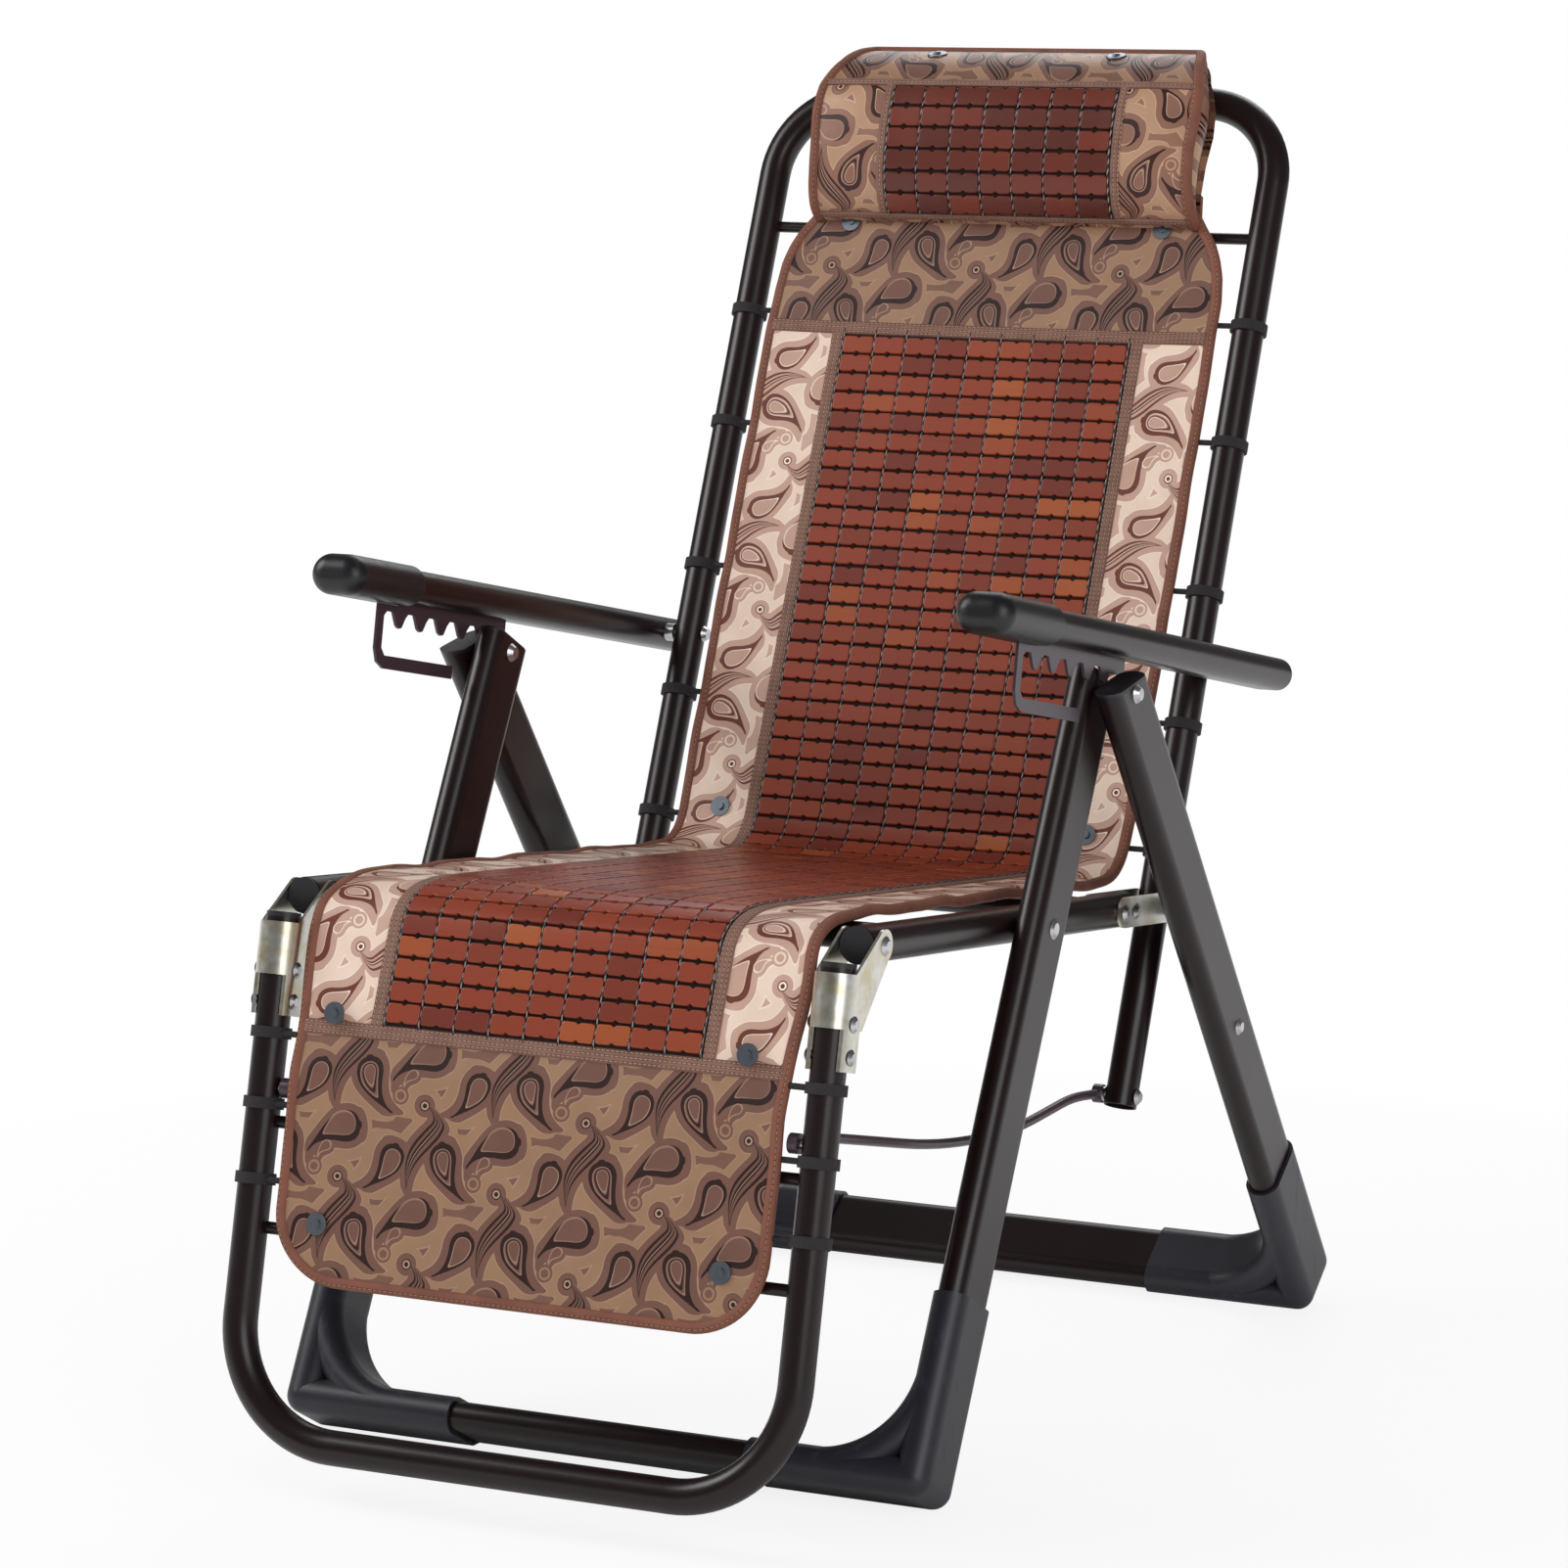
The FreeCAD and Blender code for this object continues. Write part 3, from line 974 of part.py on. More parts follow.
hollow = [
    cylinder("bracket_bore", bracket_in, "Sizes.rail_d * 8", "Z", "Frames.rail_x", "0", "-Sizes.rail_d * 4"),
    block("bracket_slot", f"({bracket_in}) * 2", "Sizes.rail_d * 4", "Sizes.rail_d * 8",
          f"Frames.rail_x - ({bracket_in})", "0", "-Sizes.rail_d * 4"),
    across("bracket_pin_hole", "Frames.pin_hole", "Sizes.knee_set", "Sizes.knee_drop"),
    across("bracket_rivet_a", "Frames.rivet_hole", "0", f"-({rivet_high})"),
    across("bracket_rivet_b", "Frames.rivet_hole", "0", f"-({rivet_low})"),
]
bracket = cut("bracket_solid", common("bracket_shell", fuse("bracket_blank", [outline, web]), envelope), hollow)
both("knee_bracket", place(bracket, "rest"))


def through_pin(name, shank, y, z, gap):
    """A pin across one side of the frame with a low head on each face of the bracket."""
    start = f"Frames.rail_x - {bracket_out} - {gap}"
    stop = f"Frames.rail_x + {bracket_out} + {gap}"
    heads = [cone(f"{name}_head", f"{shank} * 1.9", shank, f"{shank} * 0.7", stop, y, z),
             cone(f"{name}_foot", f"{shank} * 1.9", shank, f"{shank} * 0.7", start, y, z, outward=False)]
    bar = cylinder(f"{name}_bar", shank, f"({stop}) - ({start})", "X", start, y, z)
    return fuse(name, [bar] + heads)


pair("knee_pins", place(group("knee_pin_one", [
    through_pin("knee_pin", "Sizes.pin_d / 2", "-Frames.rail_length", "0", "Sizes.side_gap / 2")]), "seat"))
pair("knee_rivets", place(group("knee_rivet_pair", [
    through_pin("knee_rivet_a", "Sizes.rivet_d / 2", "0", f"-({rivet_high})", "0"),
    through_pin("knee_rivet_b", "Sizes.rivet_d / 2", "0", f"-({rivet_low})", "0")]), "rest"))

# Front pins of the link rods on the leg rest tube; each stops short of its rod.
rod_plate_out = "(Frames.rod_x + Sizes.rod_d / 2)"
lug = cylinder("lug_pin", "Sizes.pin_d / 2", f"Frames.tube_in - {rod_plate_out} - Sizes.open_gap", "X",
               f"{rod_plate_out} + Sizes.open_gap", "0", "-Sizes.lug_drop")
pair("rod_lugs", place(group("lug_one", [lug]), "rest"))

# Link rods: a bent round rod with a flat eye at each end and a pin through the back tube.
rod_run = derived("rod_length")
rod_points = [Vector(0, -size("rod_d"), 0), Vector(0, -rod_run * 0.1, 0),
              Vector(0, -rod_run * 0.32, -size("rod_bow")), Vector(0, -rod_run * 0.56, -size("rod_bow")),
              Vector(0, -rod_run * 0.9, 0), Vector(0, -rod_run + size("rod_d"), 0)]
rod_points = [Vector(derived("rod_x"), p.y, p.z) for p in rod_points]


def bent_path(points):
    """Straight runs joined by tangent arcs, each as large as its shorter run allows."""
    edges = []
    last = points[0]
    for before, corner, after in zip(points, points[1:], points[2:]):
        arrive = (corner - before).normalize()
        leave = (after - corner).normalize()
        turn = arrive.getAngle(leave)
        trim = 0.45 * min((corner - before).Length, (after - corner).Length)
        radius = trim / math.tan(turn / 2)
        start = corner - arrive * trim
        end = corner + leave * trim
        inward = (leave - arrive).normalize()
        middle = corner + inward * (radius / math.cos(turn / 2) - radius)
        edges.append(Part.makeLine(last, start))
        edges.append(Part.Arc(start, middle, end).toShape())
        last = end
    edges.append(Part.makeLine(last, points[-1]))
    return Part.Wire(edges)


rod_path = bent_path(rod_points)
ring = Part.Wire(Part.makeCircle(size("rod_d") / 2, rod_points[0], Vector(0, -1, 0)))
rod_bar = doc.addObject("Part::Feature", "rod_bar")
rod_bar.Shape = rod_path.makePipeShell([ring], True, False)
print("link rod volume against section times length",
      round(rod_bar.Shape.Volume / (math.pi * size("rod_d") ** 2 / 4 * rod_path.Length), 4))
eyes = []
for tag, y in (("rear", "0"), ("front", "-Frames.rod_length")):
    eyes.append(cylinder(f"rod_eye_{tag}", "Sizes.rod_d", "Sizes.rod_d", "X",
                         "Frames.rod_x - Sizes.rod_d / 2", y))
rod = place(fuse("rod_solid", [rod_bar] + eyes), "rod")
both("link_rod", rod)
rod_pin = fuse("rod_pin_solid", [
    cylinder("rod_pin_shank", "Sizes.pin_d / 2",
             f"Frames.tube_out + Sizes.side_gap - {rod_plate_out}", "X", rod_plate_out),
    cylinder("rod_pin_collar", "Sizes.pin_d * 0.8", f"Frames.tube_in - Sizes.side_gap - {rod_plate_out}",
             "X", rod_plate_out),
    cone("rod_pin_head", "Sizes.pin_d * 0.9", "Sizes.pin_d * 0.5", "Sizes.pin_d * 0.4",
         "Frames.tube_out + Sizes.side_gap"),
])
pair("rod_pins", place(rod_pin, "rod"))

# Side links from the back hinge to the rear legs.
link = fuse("link_blank", [
    block("link_bar", "Sizes.link_plate", "Sizes.link_height", "Frames.link_length", "Frames.link_low",
          "-Sizes.link_height / 2", "-Frames.link_length"),
    cylinder("link_top", "Sizes.link_height / 2", "Sizes.link_plate", "X", "Frames.link_low"),
    cylinder("link_foot", "Sizes.link_height / 2", "Sizes.link_plate", "X", "Frames.link_low", "0",
             "-Frames.link_length"),
])
link = cut("link_solid", link, [cylinder("link_hole", "Frames.bolt_hole", "Sizes.link_plate + 2", "X",
                                         "Frames.link_low - 1")])
both("side_link", place(link, "link"))

# Armrests: oval tube, grip, tail cap and the toothed rack that hangs over the apex bolt.
arm = doc.addObject("PartDesign::Body", "arm_solid")
arm_sketch = new_sketch(arm, "arm_section", "XZ_Plane", "-Sizes.arm_tail")
arm_flat = size("arm_width") - size("arm_height")
for tag, shrink in (("outer", "0"), ("inner", "Sizes.wall")):
    radius = f"Sizes.arm_height / 2 - {shrink}"
    values = {"radius": radius, "flat": "Sizes.arm_width - Sizes.arm_height",
              "centre": "Frames.rack_x + (Sizes.arm_width - Sizes.arm_height) / 2"}
    draw_slot(arm_sketch, derived("rack_x"), arm_flat, evaluate(radius), tag, values, upright=False)
arm_pad = arm.newObject("PartDesign::Pad", "arm_pad")
arm_pad.Profile = arm_sketch
bind(arm_pad, {"Length": "Sizes.arm_front + Sizes.arm_tail"})
doc.recompute()
arm_tube = cut("arm_bored", arm, [cylinder("arm_pin_hole", "Frames.pin_hole", "Sizes.arm_width / 2 + 2", "X",
                                          "Frames.arm_in - 2")])
both("armrest_tube", place(arm_tube, "arm"))


def oval_block(name, start, length, radius, flat):
    """A solid oval bar along the armrest from a bound start towards the front."""
    half = f"({flat}) / 2"
    return fuse(name, [
        cylinder(name + "_in", radius, length, "Y", f"Frames.rack_x - {half}", start),
        cylinder(name + "_out", radius, length, "Y", f"Frames.rack_x + {half}", start),
        block(name + "_mid", flat, length, f"({radius}) * 2", f"Frames.rack_x - {half}", start, f"-({radius})"),
    ])


oval_way = "(Sizes.arm_width - Sizes.arm_height)"
grip_start = "-(Sizes.arm_front + Sizes.grip_nose)"
grip_blank = oval_block("grip_blank", grip_start, "Sizes.grip_length", "Sizes.arm_height / 2 + Sizes.grip_wall",
                        oval_way)
doc.recompute()
grip_low = evaluate(grip_start)
round_nose = doc.addObject("Part::Fillet", "grip_round")
round_nose.Base = grip_blank
nose, tail = [], []
for index, line in enumerate(grip_blank.Shape.Edges, start=1):
    if abs(line.BoundBox.YMin - grip_low) < 0.01 and line.BoundBox.YLength < 0.01:
        nose.append(index)
    elif line.BoundBox.YLength < 0.01:
        tail.append(index)
nose_round = (size("arm_height") / 2 + size("grip_wall")) * 0.86
round_nose.Edges = [(index, nose_round, nose_round) for index in nose] + [(index, 2.0, 2.0) for index in tail]
grip_room = oval_block("grip_room", "-Sizes.arm_front - 0.2", "Sizes.arm_front", "Sizes.arm_height / 2 + 0.15",
                       oval_way)
both("armrest_grip", place(cut("grip_solid", round_nose, [grip_room]), "arm"))
tail_cap = oval_block("tail_cap", "Sizes.arm_tail", "3", "Sizes.arm_height / 2", oval_way)
pair("armrest_tail_caps", place(tail_cap, "arm"))


def rack_shape():
    """The toothed plate: a window whose upper edge has notches and whose floor carries the bolt line."""
    line = -size("arm_rise")
    run = -derived("apex_run")
    top = -size("arm_height") / 2
    low = line - size("rack_low")
    floor = low + size("rack_bar")
    tip = line + size("tooth_clear")
    notch = tip + size("tooth_height")
    front = run - size("rack_front") - size("tooth_pitch") * 0.5
    x = derived("rack_x") - size("rack_plate") / 2
    wall = size("rack_wall")
    mouth = run - size("rack_mouth")
    rear = run + size("rack_rear")
    outer = [(front - wall, low + 16), (front - wall + 5, low + 5), (front - wall + 16, low),
             (mouth, low), (mouth, floor), (front + 6, floor), (front, floor + 6)]
    pitch = size("tooth_pitch")
    outer.append((front, notch - 4))
    count = int((rear - front - 8) // pitch)
    for index in range(count):
        start = front + index * pitch
        outer += [(start + pitch * 0.12, notch), (start + pitch * 0.42, notch), (start + pitch * 0.62, tip + 2),
                  (start + pitch * 0.74, tip), (start + pitch * 0.86, tip + 1), (start + pitch, notch - 4)]
    grip_back = size("grip_length") - size("arm_front") - size("grip_nose") + size("side_gap")
    below_grip = top - size("grip_wall") - size("side_gap")
    outer += [(rear, notch - 4), (rear, top), (grip_back, top), (grip_back, below_grip), (front - wall, below_grip)]
    face = Part.Face(Part.makePolygon([Vector(x, y, z) for y, z in outer + outer[:1]]))
    return face.extrude(Vector(size("rack_plate"), 0, 0))


rack = doc.addObject("Part::Feature", "rack_solid")
rack.Shape = rack_shape()
both("armrest_rack", place(rack, "arm"))

arm_bolt = fuse("arm_bolt_solid", [
    cylinder("arm_bolt_shank", "Sizes.pin_d / 2", "Frames.rack_x - Frames.tube_in + Sizes.side_gap", "X",
             "Frames.tube_in - Sizes.side_gap"),
    cone("arm_bolt_foot", "Sizes.pin_d * 0.9", "Sizes.pin_d * 0.6", "Sizes.pin_d * 0.5",
         "Frames.tube_in - Sizes.side_gap", outward=False),
    cylinder("arm_bolt_sleeve", "Sizes.pin_d", "Frames.arm_in - Frames.tube_out - Sizes.side_gap * 2", "X",
             "Frames.tube_out + Sizes.side_gap"),
])
pair("arm_bolts", place(arm_bolt, "arm"))

doc.recompute()
for item in doc.Objects:
    if "Invalid" in item.State or "Error" in item.State:
        raise RuntimeError(f"{item.Name} did not rebuild: {item.State}")
labels = [item.Label for item in NODES]
if len(set(labels)) != len(labels):
    raise RuntimeError("two pieces share a name")
os.makedirs("parts", exist_ok=True)
for item in NODES:
    shape = item.Shape
    if shape.isNull() or not shape.isValid() or not shape.Solids:
        raise RuntimeError(f"{item.Label} has no valid solid")
for item in NODES:
    item.Shape.exportStep(f"parts/{item.Label}.step")
print(len(NODES), "pieces written")
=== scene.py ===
import json
import math

import bmesh
import bpy
import numpy as np
from bpy.props import FloatProperty, FloatVectorProperty, IntProperty, PointerProperty
from bpy.types import Operator, Panel, PropertyGroup
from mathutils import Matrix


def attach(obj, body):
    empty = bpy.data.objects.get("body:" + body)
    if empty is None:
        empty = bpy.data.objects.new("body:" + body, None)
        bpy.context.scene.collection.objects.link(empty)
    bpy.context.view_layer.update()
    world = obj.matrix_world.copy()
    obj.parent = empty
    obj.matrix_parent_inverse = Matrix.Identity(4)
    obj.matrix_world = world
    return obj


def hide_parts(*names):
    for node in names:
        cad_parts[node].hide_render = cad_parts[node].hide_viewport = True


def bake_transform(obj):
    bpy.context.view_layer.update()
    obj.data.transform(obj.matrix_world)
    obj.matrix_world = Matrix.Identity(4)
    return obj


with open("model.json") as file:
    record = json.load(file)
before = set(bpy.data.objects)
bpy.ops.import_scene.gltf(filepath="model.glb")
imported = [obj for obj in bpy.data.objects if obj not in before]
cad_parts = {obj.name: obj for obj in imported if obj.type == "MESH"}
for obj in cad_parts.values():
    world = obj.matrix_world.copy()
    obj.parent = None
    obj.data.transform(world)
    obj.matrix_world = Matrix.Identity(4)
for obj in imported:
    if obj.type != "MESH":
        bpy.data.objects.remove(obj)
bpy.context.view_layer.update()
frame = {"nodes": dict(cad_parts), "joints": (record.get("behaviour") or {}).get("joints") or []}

bl_info = {
    "name": "Folding recliner with a tiled mat",
    "version": (1, 0, 0),
    "blender": (4, 5, 0),
    "location": "View3D > Sidebar > Recliner",
    "description": "Mat, tiles, pillow and finishes of a folding recliner",
    "category": "Add Mesh",
}

# Points of the frame in metres (y, z) and the lean of its parts in degrees.
PIVOT = {joint["name"]: np.array(joint["pos_m"][1:]) for joint in frame["joints"]}
BACK_LEAN, REST_LEAN, SEAT_FALL = 23.1, 13.34, 6.1
FACE = 0.0115  # the mat's face in front of the middle of the tubes


def tilted(origin, degrees, up, out):
    """The point that is up metres along a leaning tube and out metres behind its middle."""
    turn = math.radians(degrees)
    up, out = np.asarray(up, float), np.asarray(out, float)
    y = origin[0] + up * math.sin(turn) + out * math.cos(turn)
    z = origin[1] + up * math.cos(turn) - out * math.sin(turn)
    return np.stack([y, z], -1)


BACK_HINGE = PIVOT["recline"]
REST_DATUM = tilted(PIVOT["leg_rest_lift"], REST_LEAN, -0.033, -0.0415)


def on_back(up, out=-FACE):
    """A point of the back, (y, z)."""
    return tilted(BACK_HINGE, BACK_LEAN, up, out)


def on_seat(out, up=0.021):
    """A point of the seat, out metres behind the back hinge and up metres above the rails' middle."""
    return tilted(BACK_HINGE, SEAT_FALL, up, out)


def on_rest(up, out=-FACE):
    """A point of the leg rest, (y, z)."""
    return tilted(REST_DATUM, REST_LEAN, up, out)


# Curves and meshes


def rounded(points, rounds=4):
    """Corner cutting: each pass replaces a run by points at a quarter and three quarters of it."""
    line = np.asarray(points, float)
    for _ in range(rounds):
        first, second = line[:-1], line[1:]
        cut = np.stack([0.75 * first + 0.25 * second, 0.25 * first + 0.75 * second], 1)
        line = np.concatenate([line[:1], cut.reshape(-1, line.shape[1]), line[-1:]])
    return line


def lengths(line):
    """Distance along a line at each of its points."""
    steps = np.linalg.norm(np.diff(line, axis=0), axis=1)
    return np.concatenate([[0.0], np.cumsum(steps)])


def spaced(line, step):
    """The line again with even steps."""
    along = lengths(line)
    even = np.linspace(0, along[-1], max(2, int(round(along[-1] / step)) + 1))
    return np.stack([np.interp(even, along, line[:, k]) for k in range(line.shape[1])], 1)


def quads(rows, columns, around=False):
    """Faces of a grid of points; around joins its last column to its first."""
    last = columns if around else columns - 1
    r, c = np.meshgrid(np.arange(rows - 1), np.arange(last), indexing="ij")
    right = (c + 1) % columns
    corners = [r * columns + c, r * columns + right, (r + 1) * columns + right, (r + 1) * columns + c]
    return np.stack(corners, -1).reshape(-1, 4)


def new_piece(name, points, faces, looks, uv=None, which=None, smooth=True, tint=None):
    """A mesh with its faces pointing out, a UV map in metres and, for each face, one of the looks."""
    mesh = bpy.data.meshes.new(name)
    mesh.from_pydata(np.asarray(points, float).tolist(), [], [list(map(int, face)) for face in faces])
    if which is not None:
        mesh.polygons.foreach_set("material_index", np.asarray(which, np.int32))
    if uv is not None:
        corner = np.zeros(len(mesh.loops), np.int32)
        mesh.loops.foreach_get("vertex_index", corner)
        layer = mesh.uv_layers.new(name="cloth")
        layer.data.foreach_set("uv", np.asarray(uv, np.float32)[corner].ravel())
    if tint is not None:
        mesh.attributes.new("tint", "FLOAT", "POINT").data.foreach_set("value", np.asarray(tint, np.float32))
    shell = bmesh.new()
    shell.from_mesh(mesh)
    bmesh.ops.recalc_face_normals(shell, faces=shell.faces)
    shell.to_mesh(mesh)
    shell.free()
    mesh.polygons.foreach_set("use_smooth", np.full(len(mesh.polygons), smooth))
    mesh.update()
    item = bpy.data.objects.new(name, mesh)
    bpy.context.scene.collection.objects.link(item)
    for key in looks:
        mesh.materials.append(finishes()[key])
    return item


def slab(front, rear):
    """A thin closed body between two grids: points, faces, and for each face front (0), rear (1) or rim (2)."""
    rows, columns = front.shape[:2]
    count = rows * columns
    points = np.concatenate([front.reshape(-1, 3), rear.reshape(-1, 3)])
    face = quads(rows, columns)
    index = np.arange(count).reshape(rows, columns)
    rim = np.concatenate([index[0, :-1], index[:-1, -1], index[-1, :0:-1], index[:0:-1, 0]])
    after = np.roll(rim, -1)
    walls = np.stack([rim, after, after + count, rim + count], 1)
    faces = np.concatenate([face, face[:, ::-1] + count, walls])
    kind = np.concatenate([np.zeros(len(face)), np.ones(len(face)), np.full(len(walls), 2)])
    return points, faces, kind


def carried(path, side, up, outline):
    """A closed outline carried along a path, each ring path + side * x + up * y, with capped ends."""
    rings = path[:, None] + side[:, None] * outline[None, :, :1] + up[:, None] * outline[None, :, 1:]
    rows, columns = rings.shape[:2]
    faces = quads(rows, columns, around=True).tolist()
    faces.append(list(range(columns))[::-1])
    faces.append(list(range((rows - 1) * columns, rows * columns)))
    along = lengths(path)
    share = np.linspace(0, 1, columns, endpoint=False)
    uv = np.stack(np.broadcast_arrays(share[None, :], along[:, None]), -1)
    return rings.reshape(-1, 3), faces, uv.reshape(-1, 2)


def joined(parts):
    """Several (points, faces, uv) made one."""
    points, faces, uvs, start = [], [], [], 0
    for part_points, part_faces, part_uv in parts:
        points.append(part_points)
        uvs.append(part_uv)
        faces += [[int(v) + start for v in face] for face in part_faces]
        start += len(part_points)
    return np.concatenate(points), faces, np.concatenate(uvs)


def oval(wide, high, count, power=2.0):
    """A closed outline |x / wide|^power + |y / high|^power = 1."""
    turn = np.linspace(0, 2 * math.pi, count, endpoint=False)
    c, s = np.cos(turn), np.sin(turn)
    x = wide * np.sign(c) * np.abs(c) ** (2 / power)
    y = high * np.sign(s) * np.abs(s) ** (2 / power)
    return np.stack([x, y], 1)


# The mat's surface


def mat_line():
    """The mat's middle line (y, z) from under the pillow over the seat and knee to the hem."""
    down = on_back(np.linspace(0.640, 0.060, 40))
    share = np.linspace(0, 1, 14)[:, None]
    corner, first, last = on_back(0.0185), on_back(0.055), on_seat(-0.045)
    crease = (1 - share) ** 2 * first + 2 * share * (1 - share) * corner + share ** 2 * last
    seat = on_seat(np.linspace(-0.055, -0.490, 30))
    knee = rounded([on_seat(-0.495), (-0.350, 0.4755), (-0.3915, 0.4640), (-0.4045, 0.4350), (-0.4270, 0.3800),
                    on_rest(-0.105)], 4)
    leg = on_rest(np.linspace(-0.110, -0.274, 20))
    return spaced(np.concatenate([down, crease, seat, knee, leg]), 0.002)


LINE = mat_line()
ALONG = lengths(LINE)
HEM = ALONG[-1]
_slope = np.gradient(LINE, ALONG, axis=0)
_slope = np.stack([np.convolve(np.pad(_slope[:, k], 4, "edge"), np.ones(9) / 9, "valid") for k in (0, 1)], 1)
_slope /= np.linalg.norm(_slope, axis=1)[:, None]
FACING = np.stack([_slope[:, 1], -_slope[:, 0]], 1)  # the line's normal, to the front and up


def station(point):
    """Distance along the mat of its point nearest to (y, z)."""
    return float(ALONG[np.argmin(np.linalg.norm(LINE - np.asarray(point), axis=1))])


FIELD_TOP = station(on_back(0.507))
FIELD_LOW = station(on_rest(-0.070))
MIDDLE = station(on_seat(-0.270))
KNEE = station((-0.4045, 0.4350))
CREASE = station(on_back(0.0185))

HEM_ROUND = 0.062  # radius of the hem's corners


def half_width(along):
    """Half the mat's width: drawn in under the pillow, a little wider at the knee and rounded at the hem."""
    neck = np.interp(along, [0, 0.020, 0.032, 0.044, 0.058, 0.074, 0.098, 0.140, 0.560, 0.640],
                     [0.184, 0.1865, 0.1945, 0.2035, 0.2100, 0.2148, 0.2178, 0.2188, 0.2180, 0.2165])
    knee = 0.0055 * np.exp(-(((along - KNEE) / 0.050) ** 2))
    past = np.clip((along - (HEM - HEM_ROUND)) / HEM_ROUND, 0, 1)
    return neck + knee - HEM_ROUND * (1 - np.sqrt(np.maximum(0, 1 - past ** 2)))


def sag(across, along):
    """How far the cloth gives way between its edges, less near the pillow and the hem."""
    share = np.clip(np.abs(across) / 0.216, 0, 1)
    depth = 0.0022 + 0.0016 * np.sin(math.pi * np.clip(along / CREASE, 0, 1)) ** 2
    return depth * (1 - share ** 2) * np.clip(along / 0.06, 0, 1) * np.clip((HEM - along) / 0.05, 0, 1)


def ripple(across, along):
    """Small waves of the cloth between its laces, fading towards the tiles."""
    edge = np.clip((np.abs(across) - 0.150) / 0.060, 0, 1) ** 2
    wave = np.sin(along * 52 + np.sign(across) * 0.7) + 0.5 * np.sin(along * 97 + 1.3)
    return 0.0009 * edge * wave


def on_mat(across, along, lift=0.0):
    """A point on the mat's face: across from the middle, along from its top, lift above the face."""
    across, along, lift = np.broadcast_arrays(np.asarray(across, float), np.asarray(along, float), lift)
    y = np.interp(along, ALONG, LINE[:, 0])
    z = np.interp(along, ALONG, LINE[:, 1])
    ny = np.interp(along, ALONG, FACING[:, 0])
    nz = np.interp(along, ALONG, FACING[:, 1])
    rise = lift - sag(across, along) + ripple(across, along)
    return np.stack([across, y + ny * rise, z + nz * rise], -1)


# Shader maths


def math_node(operation, reflected=False):
    """A method of Value that adds one kind of Math node; a reflected one takes the other value first."""
    if reflected:
        return lambda self, other: self.finish.math(operation, other, self)
    return lambda self, *others: self.finish.math(operation, self, *others)


class Value:
    """A number in a material; Python's operators add its Math nodes."""

    def __init__(self, finish, socket):
        self.finish = finish
        self.socket = socket

    __add__ = __radd__ = math_node("ADD")
    __sub__, __rsub__ = math_node("SUBTRACT"), math_node("SUBTRACT", True)
    __mul__ = __rmul__ = math_node("MULTIPLY")
    __truediv__, __rtruediv__ = math_node("DIVIDE"), math_node("DIVIDE", True)
    __lt__, __gt__, __abs__ = math_node("LESS_THAN"), math_node("GREATER_THAN"), math_node("ABSOLUTE")
    floor, fraction, sine, root = (math_node(kind) for kind in ("FLOOR", "FRACT", "SINE", "SQRT"))
    least, most = math_node("MINIMUM"), math_node("MAXIMUM")


def tone(code):
    """A colour written as RRGGBB, in the linear numbers that a shader takes."""
    values = np.array([int(code[k:k + 2], 16) for k in (0, 2, 4)]) / 255
    linear = np.where(values <= 0.04045, values / 12.92, ((values + 0.055) / 1.055) ** 2.4)
    return (*linear.tolist(), 1.0)


